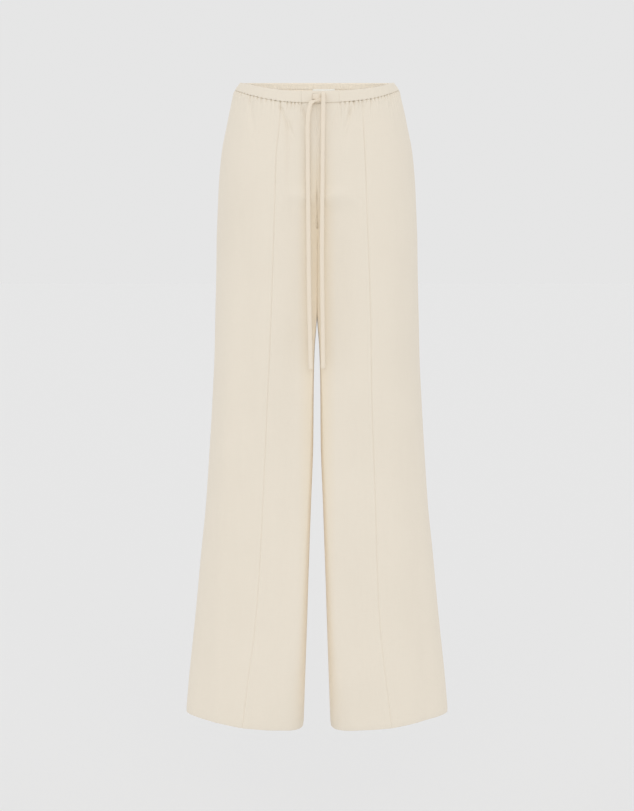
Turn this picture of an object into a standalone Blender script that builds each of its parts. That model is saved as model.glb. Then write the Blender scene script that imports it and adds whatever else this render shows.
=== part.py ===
# Drawstring pants: long, straight at the hip, wide at the hem, filled out as worn.
# The front faces -Y, +X is the right side of a front view, +Z is up.
# The origin is the middle of the waist opening. Lengths in the tables are millimetres.
import functools
import math

import bmesh
import bpy
import numpy as np

MM = 0.001

# Driving sizes
CLOTH = 1.5            # wall of the leg panels
SEAM = 0.3             # gap between two pieces that are sewn together
BAND = 3.2             # folded waistband with its elastic inside
BAND_PROUD = 0.9       # how far the band stands out from the panels under it
BAND_FRONT = 61.0      # flat stretch at the centre front, between the ends of the elastic
BUTTONHOLE = (7.2, 9.5, 2.1)       # width, height and depth of each slot in the flat stretch
BUTTONHOLE_X = (-6.0, 12.6)        # middle of each slot, across the front
BUTTONHOLE_Z = -25.0
CORD = 6.4             # diameter of the drawstring, a turned tube of the same cloth
LABEL = (39.0, 46.0, 1.0)          # width, height and thickness of the bare label
LABEL_X = 11.7
LABEL_ABOVE_SEAM = 4.2
HEM_LEAN = 0.1         # the hem is square to a leg that leans outwards
HEM_LEAN_FROM = -700
HEM_LINE_X = 126.0
FRONT_DIP = 1.7        # how suddenly the waist dips towards the centre front
GATHER_DEPTH = 0.8
FLAT_EDGE_SOFT = 6.0
SEAM_FOLD = 0.25       # share of a fold that is left where the band holds the cloth

# One row for each level of the pants, from the rim of the waistband to the hem.
# height: of the side; drop and lift: how much lower the centre front, how much higher the centre back
# inner: half the gap between the legs; front, seat: depth of the inner edge, ahead and behind
# front_way, seat_way: direction of the section there, in degrees from +X towards +Y
# line, line_y, way_in, way_out: the seam down the front of the leg, and the section on its two sides
# side: half the width; back, back_y, back_way: the fullest place behind
# round: ROUND is a round section, less is flatter between its corners, as a pressed leg is
# crease: how square the leg's two inner corners are, from 0, round, to 1, sharp
ROUND = 0.55
CREASE_POWER = 2.5     # how flush with the front and back the cloth next to a crease lies
COLUMNS = (
    "height", "drop", "lift", "inner", "front", "front_way", "line", "line_y", "way_in", "way_out",
    "side", "back", "back_y", "back_way", "seat", "seat_way", "round", "crease",
)
LEVELS = (
    (7.5, -22, 10, 0, -98, 0, 66, -88, 17, 20, 127.7, 66, 88, 162, 98, 180, 0.55, 0),
    (-6, -29, 6, 0, -101, 0, 67, -91, 16, 19, 137.0, 68, 91, 163, 101, 180, 0.55, 0),
    (-20, -27, 5, 0, -102.5, 0, 67.5, -93, 15, 17, 141.6, 70, 95, 164, 103, 180, 0.55, 0),
    (-40, -23, 4, 0, -104.5, 0, 68, -96, 12, 15, 146.6, 73, 101, 166, 107, 180, 0.55, 0),
    (-65, -18, 3, 0, -107, 0, 69.5, -100, 9, 12, 151.8, 76, 108, 168, 112, 180, 0.55, 0),
    (-110, -9, 1, 0, -109.5, 0, 72.5, -104, 6, 9, 160.5, 79, 117, 173, 121, 180, 0.55, 0),
    (-165, 0, 0, 0, -109.5, -2, 74.2, -106, 4, 8, 165.7, 81, 122, 177, 126, 180, 0.55, 0),
    (-200, 0, 0, 0, -106.5, -20, 75.2, -106, 3, 8, 167.3, 81, 122, 178, 125, 184, 0.55, 0.15),
    (-225, 0, 0, 0, -98, -50, 76.1, -105.5, 2, 7, 168.2, 81, 120, 180, 118, 196, 0.55, 0.35),
    (-245, 0, 0, 0, -80, -74, 76.9, -105, 1, 6, 169.0, 82, 117, 181, 103, 212, 0.55, 0.5),
    (-262, 0, 0, 0, -46, -86, 77.6, -104.5, 1, 6, 169.6, 83, 114, 182, 74, 232, 0.55, 0.6),
    (-280, 0, 0, 0, 10, -90, 78.3, -104, 0, 6, 169.9, 84, 111, 182, 14, 256, 0.55, 0.65),
    (-330, 0, 0, 0, 8, -90, 80.0, -102, 0, 5, 171.1, 85, 105, 181, 8, 268, 0.55, 0.68),
    (-385, 0, 0, 0, 5, -90, 82.0, -100, 0, 5, 172.6, 86, 99, 180, 5, 270, 0.55, 0.68),
    (-440, 0, 0, 1.2, 3, -90, 83.6, -98, 0, 5, 173.8, 88, 95, 180, 3, 270, 0.55, 0.68),
    (-500, 0, 0, 3.9, 2, -90, 85.5, -96, -1, 6, 176.6, 90, 92, 180, 2, 270, 0.55, 0.66),
    (-600, 0, 0, 6.2, 0, -90, 89.6, -92, -2, 7, 182.5, 95, 87, 180, 0, 270, 0.55, 0.64),
    (-700, 0, 0, 10.0, -2, -90, 94.0, -89, -3, 8, 189.8, 101, 83, 180, -2, 270, 0.55, 0.6),
    (-800, 0, 0, 13.6, -4, -90, 98.2, -86, -4, 9, 199.7, 107, 80, 180, -4, 270, 0.54, 0.54),
    (-900, 0, 0, 17.0, -6, -90, 104.8, -83, -6, 11, 209.0, 114, 77, 180, -6, 270, 0.50, 0.44),
    (-1000, 0, 0, 20.4, -8, -90, 117.0, -80, -8, 14, 219.4, 121, 74, 180, -8, 270, 0.44, 0.3),
    (-1077, 0, 0, 23.2, -12, -90, 126.2, -76, -5, 13, 226.6, 125, 72, 180, -12, 270, 0.38, 0.12),
)

# How far both front seams swing towards +X on the body, by height
SWING = (
    (7.5, 7.6), (-36, 7.4), (-110, 6.0), (-363, 6.6), (-528, 4.4), (-695, 3.6), (-863, 1.6), (-1000, 0), (-1077, 0),
)

# Folds pressed into the cloth. face: -1 front, +1 back; x and z of both ends; half width; height, minus
# is a trough; end: how much of the height is left at the lower end
FOLDS = (
    # face, x_top, z_top, x_low, z_low, half_width, height, end
    (-1, -64, -30, -46, -72, 4.5, -2.6, 0.5),
    (-1, -46, -66, -41, -215, 9.0, -2.2, 0.2),
    (-1, -54, -60, -55, -190, 9.0, 1.6, 0.2),
    (-1, -72, -26, -69, -44, 3.0, -1.2, 0.0),
    (-1, -112, -16, -102, -96, 5.5, -1.6, 0.1),
    (-1, -23, -34, -15, -78, 4.0, -1.5, 0.1),
    (-1, 58, -34, 43, -92, 4.5, -2.0, 0.2),
    (-1, 76, -30, 77, -58, 3.5, -1.3, 0.0),
    (-1, 121, -16, 124, -60, 5.0, -1.4, 0.0),
    (-1, -118, -330, -112, -760, 16.0, -2.2, 0.4),
    (-1, -150, -520, -172, -1010, 15.0, 2.4, 0.6),
    (-1, -40, -470, -62, -1040, 14.0, -2.6, 0.9),
    (-1, 38, -300, 46, -620, 15.0, -2.8, 0.3),
    (-1, 118, -360, 126, -840, 17.0, 2.0, 0.4),
    (-1, 66, -640, 74, -1060, 14.0, -2.4, 0.9),
    (-1, 168, -700, 190, -1060, 14.0, -2.2, 0.9),
    (1, -100, 0, -86, -120, 6.0, -2.4, 0.2),
    (1, -44, 0, -40, -95, 6.0, -2.0, 0.1),
    (1, 52, 0, 47, -110, 6.0, -2.2, 0.2),
    (1, 106, -2, 95, -90, 6.0, -2.0, 0.1),
    (1, -60, -285, -112, -430, 14.0, -3.0, 0.2),
    (1, 58, -290, 106, -450, 14.0, -3.0, 0.2),
    (1, -88, -420, -104, -1060, 16.0, 2.6, 0.8),
    (1, 86, -410, 108, -1060, 16.0, 2.4, 0.8),
    (1, -60, -620, -68, -1060, 15.0, -2.4, 0.9),
    (1, 150, -560, 176, -1060, 16.0, -2.6, 0.9),
    (1, -160, -480, -186, -1060, 16.0, -2.2, 0.9),
    (1, 50, -700, 60, -1060, 14.0, -2.0, 0.9),
)

# Rows of the leg panels below the waist seam, and how many parts each coarse column has there
PANEL_ROWS = (
    (-6, 8), (-14, 8), (-24, 8), (-38, 4), (-56, 2), (-80, 1), (-110, 1), (-140, 1), (-168, 1),
    (-192, 1), (-210, 1), (-226, 1), (-241, 1), (-254, 1), (-267, 1), (-280, 1), (-300, 1), (-335, 1),
    (-385, 1), (-440, 1), (-505, 1), (-575, 1), (-650, 1), (-725, 1), (-800, 1), (-875, 1), (-945, 1),
    (-1010, 1), (-1050, 1), (-1077, 1),
)
GATHER_LEFT = {-6: 1.0, -14: 0.7, -24: 0.3}    # share of a gather's depth that is left at each row
CROTCH = -280
RISE_START = -262

# Arcs of the section: 0 centre front to front seam, 1 to the side, 2 to the fullest place behind,
# 3 to the centre back. Coarse columns and gathers of each
ARC_COLUMNS = (7, 8, 6, 6)
ARC_GATHERS = (10, 16, 12, 12)

# The drawstring's two free ends, from the knot down, as x, y, z
CORD_ROUTES = {
    "drawstring_right": (
        (10.2, -111.3, -38.35), (10.15, -111.35, -43), (9.9, -112.4, -54), (9.4, -114.0, -90),
        (8.8, -114.8, -160), (8.2, -115.0, -230), (8.0, -115.0, -290), (8.6, -115.0, -350),
        (9.3, -115.0, -410), (9.8, -115.0, -466),
    ),
    "drawstring_left": (
        (-11.0, -109.6, -38.35), (-12.2, -110.4, -42), (-13.6, -111.8, -49.5), (-14.8, -113.2, -66),
        (-15.0, -114.5, -110), (-14.4, -114.8, -190), (-13.7, -115.0, -270), (-12.9, -115.0, -350),
        (-11.4, -115.0, -415), (-10.3, -115.0, -467),
    ),
}
CORD_POINTS = 40

# The half knot: each strand leaves its buttonhole and wraps the other
KNOT_STRANDS = (
    # from the left buttonhole across the front
    ((-6.0, -100.3, -25), (-5.4, -104.6, -25.1), (-2.0, -106.9, -25.4), (3.0, -107.1, -25.2), (6.6, -105.7, -23.6)),
    # up behind, over the top and down the front
    ((5.6, -106.2, -24.2), (8.2, -105.7, -21.2), (9.7, -108.3, -19.7), (10.3, -110.8, -22.7),
     (10.3, -111.4, -29), (10.2, -111.3, -38)),
    # from the right buttonhole, under the other strand and down to the left
    ((12.6, -100.3, -25), (12.0, -104.0, -25.7), (7.5, -105.3, -27.4), (2.0, -105.4, -28.6),
     (-3.0, -106.1, -29.1), (-7.2, -107.6, -31.4), (-9.6, -108.8, -34.7), (-10.75, -109.45, -37.75)),
)
KNOT_POINTS = 12

CLOTH_COLOUR = (0.80, 0.725, 0.62)
CORD_COLOUR = (0.81, 0.73, 0.62)
LABEL_COLOUR = (0.82, 0.80, 0.74)


def smooth_between(knots, values, at):
    """Smooth curve through values at knots, without overshoot."""
    knots = np.asarray(knots, float)
    values = np.asarray(values, float)
    steps = np.diff(knots)
    slopes = np.diff(values) / steps
    tangents = np.zeros_like(values)
    tangents[0], tangents[-1] = slopes[0], slopes[-1]
    same_way = slopes[:-1] * slopes[1:] > 0
    mean = 2 * slopes[:-1] * slopes[1:] / np.where(same_way, slopes[:-1] + slopes[1:], 1)
    tangents[1:-1] = np.where(same_way, mean, 0)
    at = np.clip(at, knots[0], knots[-1])
    cell = np.clip(np.searchsorted(knots, at, side="right") - 1, 0, len(steps) - 1)
    h = steps[cell]
    t = (at - knots[cell]) / h
    return (
        (1 + 2 * t) * (1 - t) ** 2 * values[cell]
        + t * (1 - t) ** 2 * h * tangents[cell]
        + t * t * (3 - 2 * t) * values[cell + 1]
        + t * t * (t - 1) * h * tangents[cell + 1]
    )


def ease(low, high, at):
    """0 below low, 1 above high, smooth between."""
    t = np.clip((at - low) / (high - low), 0, 1)
    return t * t * (3 - 2 * t)


@functools.lru_cache(maxsize=None)
def level(height):
    """The named measures of the section at one height."""
    table = np.array(LEVELS, float)[::-1]
    return {
        name: float(smooth_between(table[:, 0], table[:, i], height))
        for i, name in enumerate(COLUMNS)
    }


@functools.lru_cache(maxsize=None)
def swing(height):
    table = np.array(SWING, float)[::-1]
    return float(smooth_between(table[:, 0], table[:, 1], height))


def heading(degrees):
    return np.array((math.cos(math.radians(degrees)), math.sin(math.radians(degrees))))


def round_reach(turn):
    """How far the handles of a round arc reach, for the angle that it turns through."""
    turn = math.radians(max(abs(turn), 4))
    return 4 / 3 * math.tan(turn / 4) / math.sin(turn)


@functools.lru_cache(maxsize=None)
def arc_corners(arc, side, height):
    """Start, two handles and end of one arc of the section, seen from above."""
    at = level(height)
    slope = math.tan(math.radians((at["way_in"] + at["way_out"]) / 2))
    line = (at["line"] + side * swing(height), at["line_y"] + side * swing(height) * slope)
    corners = (
        ((at["inner"], at["front"]), at["front_way"]),
        (line, at["way_in"]),
        (line, at["way_out"]),
        ((at["side"], 0.0), 90),
        ((at["side"], 0.0), 90),
        ((at["back"], at["back_y"]), at["back_way"]),
        ((at["back"], at["back_y"]), at["back_way"]),
        ((at["inner"], at["seat"]), at["seat_way"]),
    )
    (start, start_way), (end, end_way) = corners[2 * arc], corners[2 * arc + 1]
    start, end = np.array(start), np.array(end)
    chord = end - start
    reach = at["round"] / ROUND * round_reach(end_way - start_way)
    if arc in (0, 3):
        reach += at["crease"] * (1 / (1 + math.cos(math.radians(end_way - start_way))) - reach)
    first = start + heading(start_way) * reach * abs(chord @ heading(start_way))
    second = end - heading(end_way) * reach * abs(chord @ heading(end_way))
    return start, first, second, end


def base_point(arc, t, side, height):
    """A point of the plain surface on the +X half, before gathers and folds."""
    a, b, c, d = arc_corners(arc, side, height)
    x, y = (1 - t) ** 3 * a + 3 * t * (1 - t) ** 2 * b + 3 * t * t * (1 - t) * c + t ** 3 * d
    at = level(height)
    if arc in (0, 3) and at["crease"] > 0:
        edge, far = (a[1], d[1]) if arc == 0 else (d[1], a[1])
        sunk = min(max((far - y) / (far - edge), 0), 1)
        y += (far - edge) * (sunk - sunk ** (1 + CREASE_POWER * at["crease"]))
    if y < 0:
        z = height + at["drop"] * (y / at["front"]) ** FRONT_DIP if at["front"] < 0 else height
    else:
        z = height + at["lift"] * y / max(at["seat"], y, 1)
    z += HEM_LEAN * (x - HEM_LINE_X) * ease(HEM_LEAN_FROM, LEVELS[-1][0], height)
    return np.array((x, y, z))


def out_of(arc, t, side, height):
    """Outward direction of the plain surface and its two speeds."""
    small = 0.004
    along = (base_point(arc, t + small, side, height) - base_point(arc, t - small, side, height)) / (2 * small)
    up = (base_point(arc, t, side, height + 0.5) - base_point(arc, t, side, height - 0.5))
    if height - 0.5 < LEVELS[-1][0]:
        up = base_point(arc, t, side, height + 1) - base_point(arc, t, side, height)
    if height + 0.5 > LEVELS[0][0]:
        up = base_point(arc, t, side, height) - base_point(arc, t, side, height - 1)
    normal = np.cross(along, up)
    return normal / np.linalg.norm(normal), along, up / np.linalg.norm(up)


def fold_height(point, side, down):
    """How far the folds move a point of the surface outwards, at a height below the waist seam."""
    x, y, z = point[0] * side, point[1], point[2]
    total = 0.0
    for face, x_top, z_top, x_low, z_low, half_width, height, end in FOLDS:
        if face * y < 0:
            continue
        along = (z_top - z) / (z_top - z_low)
        length = z_top - z_low
        off_end = max(-along, along - 1, 0) * length / (0.15 * length + 16)
        centre = x_top + (x_low - x_top) * along
        share = 1 - (1 - end) * min(max(along, 0), 1)
        total += height * share * math.exp(-((x - centre) / half_width) ** 2 - off_end ** 2)
    keep_off_inner = ease(3, 14, abs(point[0]))
    below_band = SEAM_FOLD + (1 - SEAM_FOLD) * ease(0, 16, down)
    return total * keep_off_inner * below_band


def gather_height(arc, t, side, row):
    """How far the gathers under the waistband move a point outwards."""
    if row not in GATHER_LEFT:
        return 0.0
    count = sum(ARC_GATHERS[:arc]) + ARC_GATHERS[arc] * t
    depth = GATHER_DEPTH * (0.78 + 0.22 * math.sin(count * 1.9 + side))
    x = base_point(arc, t, side, row)[0]
    flat = ease(BAND_FRONT / 2 - 2, BAND_FRONT / 2 + FLAT_EDGE_SOFT, x) if arc == 0 else 1.0
    return depth * GATHER_LEFT[row] * flat * math.sin(2 * math.pi * count)


def seam_direction(arc, t, side, height):
    """Outward direction, shared by the two pieces that meet at a seam."""
    normal = out_of(arc, t, side, height)[0]
    across_seam = {(0, 1.0): (1, 0.0), (1, 0.0): (0, 1.0)}.get((arc, t))
    if across_seam is None:
        return normal
    other = out_of(*across_seam, side, height)[0]
    both = (normal + other) / np.linalg.norm(normal + other)
    return both / (both @ normal)


def leg_edge_gap(height):
    """Half a seam gap on the inner leg, none where left meets right at the centre."""
    return SEAM / 2 * (1 - ease(CROTCH, RISE_START, height))


def panel_rows(arcs, side, gap_first, gap_last):
    """Outer and inner points of a panel, row by row."""
    outer_rows, inner_rows = [], []
    first, last = arcs[0], arcs[-1]
    for row, parts in PANEL_ROWS:
        height = row - SEAM / 2 if row == PANEL_ROWS[0][0] else row
        places = []
        for arc in arcs:
            steps = ARC_COLUMNS[arc] * parts
            start = 0 if arc == first else 1
            places += [(arc, i / steps) for i in range(start, steps + 1)]
        outer, inner = [], []
        for index, (arc, t) in enumerate(places):
            direction = seam_direction(arc, t, side, height)
            point = base_point(arc, t, side, height)
            speed = out_of(arc, t, side, height)[1]
            along = speed / np.linalg.norm(speed)
            if index == 0:
                point = point + along * (leg_edge_gap(height) if gap_first == "inner" else SEAM / 2)
            if index == len(places) - 1:
                point = point - along * (leg_edge_gap(height) if gap_last == "inner" else SEAM / 2)
            lift = gather_height(arc, t, side, row) + fold_height(point, side, PANEL_ROWS[0][0] - height)
            raised = point + direction * lift
            sunk = raised - direction * CLOTH
            for place, rows in ((raised, outer), (sunk, inner)):
                x = max(place[0], 0) + SEAM / 2
                rows.append((x * side * MM, place[1] * MM, place[2] * MM))
        outer_rows.append(outer)
        inner_rows.append(inner)
    return outer_rows, inner_rows


def stitch_rows(mesh, upper, lower, turned):
    """Faces between two rows; one may have twice as many columns as the other."""
    def face(*corners):
        mesh.faces.new(corners[::-1] if turned else corners)

    if len(upper) == len(lower):
        for i in range(len(upper) - 1):
            face(upper[i], lower[i], lower[i + 1], upper[i + 1])
        return
    for i in range(len(lower) - 1):
        a, b, c = upper[2 * i], upper[2 * i + 1], upper[2 * i + 2]
        face(a, lower[i], b)
        face(b, lower[i], lower[i + 1])
        face(b, lower[i + 1], c)


def new_object(name, mesh, collection, material):
    data = bpy.data.meshes.new(name)
    bmesh.ops.recalc_face_normals(mesh, faces=mesh.faces)
    mesh.to_mesh(data)
    mesh.free()
    data.shade_smooth()
    data.set_sharp_from_angle(angle=math.radians(50))
    piece = bpy.data.objects.new(name, data)
    collection.objects.link(piece)
    data.materials.append(material)
    return piece


def make_wall(name, outer_rows, inner_rows, collection, material):
    """A closed cloth wall from the points of its two faces."""
    mesh = bmesh.new()
    outer = [[mesh.verts.new(p) for p in row] for row in outer_rows]
    inner = [[mesh.verts.new(p) for p in row] for row in inner_rows]
    for i in range(len(outer) - 1):
        stitch_rows(mesh, outer[i], outer[i + 1], False)
        stitch_rows(mesh, inner[i], inner[i + 1], True)
        for end in (0, -1):
            mesh.faces.new((outer[i][end], outer[i + 1][end], inner[i + 1][end], inner[i][end]))
    for row in (0, -1):
        for i in range(len(outer[row]) - 1):
            mesh.faces.new((outer[row][i], outer[row][i + 1], inner[row][i + 1], inner[row][i]))
    return new_object(name, mesh, collection, material)


def make_loft(name, loops, collection, material):
    """A closed solid through loops of points, capped at both ends."""
    mesh = bmesh.new()
    rings = [[mesh.verts.new(p) for p in loop] for loop in loops]
    count = len(rings[0])
    for a, b in zip(rings, rings[1:]):
        for i in range(count):
            j = (i + 1) % count
            mesh.faces.new((a[i], a[j], b[j], b[i]))
    mesh.faces.new(rings[0])
    mesh.faces.new(rings[-1])
    return new_object(name, mesh, collection, material)


def band_section(arc, t, side):
    """The folded waistband cut across at one place: up its face, over the rim, down inside."""
    seam_height, rim_height = LEVELS[1][0], LEVELS[0][0]
    radius = BAND / 2
    points = []
    for height in (seam_height + SEAM / 2, 0.5 * (seam_height + rim_height)):
        out = out_of(arc, t, side, height)[0]
        points.append(base_point(arc, t, side, height) + out * BAND_PROUD)
    height = rim_height - radius
    out, _, up = out_of(arc, t, side, height)
    centre = base_point(arc, t, side, height) + out * (BAND_PROUD - radius)
    for degrees in (0, 45, 90, 135, 180):
        turn = math.radians(degrees)
        points.append(centre + radius * (math.cos(turn) * out + math.sin(turn) * up))
    for height in (0.5 * (seam_height + rim_height), seam_height + SEAM / 2):
        out = out_of(arc, t, side, height)[0]
        points.append(base_point(arc, t, side, height) + out * (BAND_PROUD - BAND))
    return [(p[0] * side * MM, p[1] * MM, p[2] * MM) for p in points]


def part_at_x(arc, x, side, height):
    """How far along an arc its points reach a given distance from the middle."""
    low, high = 0.0, 1.0
    rising = arc == 0
    for _ in range(30):
        middle = 0.5 * (low + high)
        short = base_point(arc, middle, side, height)[0] < x
        if short == rising:
            low = middle
        else:
            high = middle
    return 0.5 * (low + high)


def make_waistband(collection, material, cutters):
    half = BAND_FRONT / 2
    middle_height = 0.5 * (LEVELS[0][0] + LEVELS[1][0])
    around = []
    for side in (1, -1):
        start = part_at_x(0, half + SEAM / 2, side, middle_height)
        places = [(0, start + (1 - start) * i / 6) for i in range(7)]
        for arc, columns in ((1, 16), (2, 12), (3, 12)):
            places += [(arc, i / columns) for i in range(1, columns + 1)]
        loops = [band_section(arc, t, side) for arc, t in places]
        around = loops if side > 0 else around + loops[-2::-1]
    make_loft("waistband_elastic", around, collection, material)

    across = []
    for side in (-1, 1):
        end = part_at_x(0, half - SEAM / 2, side, middle_height)
        loops = [band_section(0, end * i / 6, side) for i in range(7)]
        across = loops[:0:-1] if side < 0 else across + loops
    front = make_loft("waistband_front", across, collection, material)
    width, height, depth = (size * MM for size in BUTTONHOLE)
    face_y = (base_point(0, 0, 1, -2)[1] - BAND_PROUD) * MM
    for index, x in enumerate(BUTTONHOLE_X):
        bpy.ops.mesh.primitive_cylinder_add(vertices=20, radius=0.5, depth=1, rotation=(math.pi / 2, 0, 0))
        cutter = bpy.context.object
        cutter.name = "buttonhole_cut_%d" % index
        cutter.location = (x * MM, face_y, BUTTONHOLE_Z * MM)
        cutter.scale = (width, height, 2 * depth)
        for owner in cutter.users_collection:
            owner.objects.unlink(cutter)
        cutters.objects.link(cutter)
        cutter.hide_render = True
        cutter.display_type = "WIRE"
        cut = front.modifiers.new("buttonhole", "BOOLEAN")
        cut.object = cutter
        cut.solver = "EXACT"


def make_panels(collection, material):
    for side, name in ((-1, "left"), (1, "right")):
        plans = (
            ("front_centre_" + name, (0,), "inner", "seam"),
            ("front_side_" + name, (1,), "seam", "seam"),
            ("back_" + name, (2, 3), "seam", "inner"),
        )
        for piece, arcs, first, last in plans:
            outer, inner = panel_rows(arcs, side, first, last)
            make_wall(piece, outer, inner, collection, material)


def make_label(collection, material):
    width, height, thick = LABEL
    inside = BAND_PROUD - BAND - SEAM
    outer_rows, inner_rows = [], []
    top = LEVELS[1][0] + LABEL_ABOVE_SEAM
    for down in np.linspace(0, height, 5):
        outer, inner = [], []
        for x in np.linspace(LABEL_X - width / 2, LABEL_X + width / 2, 7):
            side = 1 if x >= 0 else -1
            t = part_at_x(3, abs(x), side, top - down)
            point = base_point(3, t, side, top - down)
            normal = out_of(3, t, side, top - down)[0]
            normal = normal * (side, 1, 1)
            point = np.array((x, point[1], point[2]))
            for depth, row in ((inside, outer), (inside - thick, inner)):
                place = point + normal * (depth - 0.02 * down)
                row.append(tuple(place * MM))
        outer_rows.append(outer)
        inner_rows.append(inner)
    make_wall("label", outer_rows, inner_rows, collection, material)


def smooth_route(route, count):
    """Evenly spaced points of a smooth curve through the route's own points."""
    route = np.array(route, float)
    reach = np.concatenate(([0], np.cumsum(np.linalg.norm(np.diff(route, axis=0), axis=1))))
    slopes = np.gradient(route, reach, axis=0)
    points = []
    for at in np.linspace(0, reach[-1], count):
        i = min(int(np.searchsorted(reach, at, side="right")) - 1, len(route) - 2)
        h = reach[i + 1] - reach[i]
        t = (at - reach[i]) / h
        points.append(
            (1 + 2 * t) * (1 - t) ** 2 * route[i] + t * (1 - t) ** 2 * h * slopes[i]
            + t * t * (3 - 2 * t) * route[i + 1] + t * t * (t - 1) * h * slopes[i + 1]
        )
    return points


def make_tube(name, route, count, collection, material):
    curve = bpy.data.curves.new(name, "CURVE")
    curve.dimensions = "3D"
    curve.bevel_depth = CORD / 2 * MM
    curve.bevel_resolution = 2
    curve.use_fill_caps = True
    spline = curve.splines.new("POLY")
    points = smooth_route(route, count)
    spline.points.add(len(points) - 1)
    for spot, point in zip(spline.points, points):
        spot.co = (*(point * MM), 1.0)
    tube = bpy.data.objects.new(name, curve)
    collection.objects.link(tube)
    curve.materials.append(material)
    return tube


def as_mesh(tube):
    """The closed mesh of a tube, in the tube's place."""
    bpy.context.view_layer.update()
    data = bpy.data.meshes.new_from_object(tube.evaluated_get(bpy.context.evaluated_depsgraph_get()))
    mesh = bmesh.new()
    mesh.from_mesh(data)
    bmesh.ops.remove_doubles(mesh, verts=mesh.verts, dist=0.00001)
    bmesh.ops.recalc_face_normals(mesh, faces=mesh.faces)
    mesh.to_mesh(data)
    mesh.free()
    piece = bpy.data.objects.new(tube.name + "_mesh", data)
    piece.matrix_world = tube.matrix_world
    for owner in tube.users_collection:
        owner.objects.link(piece)
    bpy.data.objects.remove(tube)
    return piece


def make_knot(collection, material, cutters):
    strands = [
        as_mesh(make_tube("knot_strand_%d" % index, route, KNOT_POINTS, cutters, material))
        for index, route in enumerate(KNOT_STRANDS)
    ]
    knot = strands[0]
    knot.name = "knot"
    cutters.objects.unlink(knot)
    collection.objects.link(knot)
    for strand in strands[1:]:
        strand.hide_render = True
        strand.display_type = "WIRE"
        union = knot.modifiers.new("tied", "BOOLEAN")
        union.operation = "UNION"
        union.object = strand
        union.solver = "EXACT"


def make_material(name, colour, roughness):
    material = bpy.data.materials.new(name)
    material.use_nodes = True
    shader = material.node_tree.nodes["Principled BSDF"]
    shader.inputs["Base Color"].default_value = (*colour, 1)
    shader.inputs["Roughness"].default_value = roughness
    shader.inputs["Metallic"].default_value = 0
    material.diffuse_color = (*colour, 1)
    return material


def main():
    for old in list(bpy.data.objects):
        bpy.data.objects.remove(old)
    pants = bpy.data.collections.new("drawstring_pants")
    cutters = bpy.data.collections.new("cutters")
    for group in (pants, cutters):
        bpy.context.scene.collection.children.link(group)
    cloth = make_material("cloth", CLOTH_COLOUR, 0.85)
    cord_cloth = make_material("cord_cloth", CORD_COLOUR, 0.8)
    label_cloth = make_material("label_cloth", LABEL_COLOUR, 0.6)
    make_panels(pants, cloth)
    make_waistband(pants, cloth, cutters)
    make_label(pants, label_cloth)
    make_knot(pants, cord_cloth, cutters)
    for name, route in CORD_ROUTES.items():
        make_tube(name, route, CORD_POINTS, pants, cord_cloth)


main()
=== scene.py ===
import math

import bmesh
import bpy
import numpy as np
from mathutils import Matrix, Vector


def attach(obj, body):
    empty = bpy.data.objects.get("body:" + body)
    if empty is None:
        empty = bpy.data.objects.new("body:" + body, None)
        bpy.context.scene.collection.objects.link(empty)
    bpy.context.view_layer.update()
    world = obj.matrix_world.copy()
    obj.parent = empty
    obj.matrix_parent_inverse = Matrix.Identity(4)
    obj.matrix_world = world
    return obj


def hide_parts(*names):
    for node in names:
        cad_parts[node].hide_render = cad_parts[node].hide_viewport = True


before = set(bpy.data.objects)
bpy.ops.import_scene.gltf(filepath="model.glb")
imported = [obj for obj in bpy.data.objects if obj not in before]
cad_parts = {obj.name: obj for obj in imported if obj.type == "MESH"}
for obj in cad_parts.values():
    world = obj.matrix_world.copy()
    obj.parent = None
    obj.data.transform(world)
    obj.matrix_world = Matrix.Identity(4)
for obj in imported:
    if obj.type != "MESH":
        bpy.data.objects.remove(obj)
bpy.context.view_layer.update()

MM = 0.001
SEED = 11

# Camera, at the photograph's angle
CAMERA_PLACE = (0.0, -3.0, -0.289433)
CAMERA_TILT = 4.7134
CAMERA_LENS = 78.3347

# The cut. It follows the solids, apart from small shifts towards the photograph
BAND = 3.2                # thickness of the waistband with the elastic inside
BAND_PROUD = 0.9          # how far it stands out from the panels under it
BAND_FRONT = 61.0         # its flat stretch at the centre front
BAND_FRONT_OFF = 5.4      # how far the middle of that stretch is to the right of the pants' middle
BUTTONHOLE = (2.4, 10.6)  # width and height of each slit
BUTTONHOLE_X = (-6.0, 12.6)
BUTTONHOLE_Z = -25.0
LABEL = (39.0, 46.0)      # width and height
LABEL_X = 11.7
LABEL_ABOVE_SEAM = 5.4
HEM_LEAN = 0.1            # the hem is square to a leg that leans outwards
HEM_LEAN_FROM = -700
HEM_LINE_X = 126.0
FRONT_DIP = 1.7           # how suddenly the waist dips towards the centre front
SEAM_FOLD = 0.25          # share of a fold that is left where the band holds the cloth

# The fork between the legs. Height, and how squarely the section turns in there
FORK_CREASE = (
    (7.5, 0), (-165, 0), (-200, 0.5), (-225, 0.92), (-245, 1.0), (-440, 0.97), (-520, 0.82), (-700, 0.64),
    (-900, 0.47), (-1077, 0.2),
)
FORK_POWER = 4.5          # how flat the front and back stay before they turn in
# Where the front and the back turn straight in towards it: from, fully from, and their way there in degrees
FRONT_TURNS_IN = (-165, -215, -88)
BACK_TURNS_IN = (-200, -235, 266)
INSEAM_TOP = -270
# Where the two legs are leant in until they touch: top and foot, each eased in over a little height
FORK_TOUCHES = ((-188, -215), (-400, -372))
FORK_CLOSES = 1.0         # how far each leg leans in
FORK_TOP_CLOSES = 1.6     # how much farther at the top of the fork
FORK_TOP_AT = (-262, 26)  # height and half length of that top
FORK_BACK_CLOSES = 2.3    # times as far behind

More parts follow.
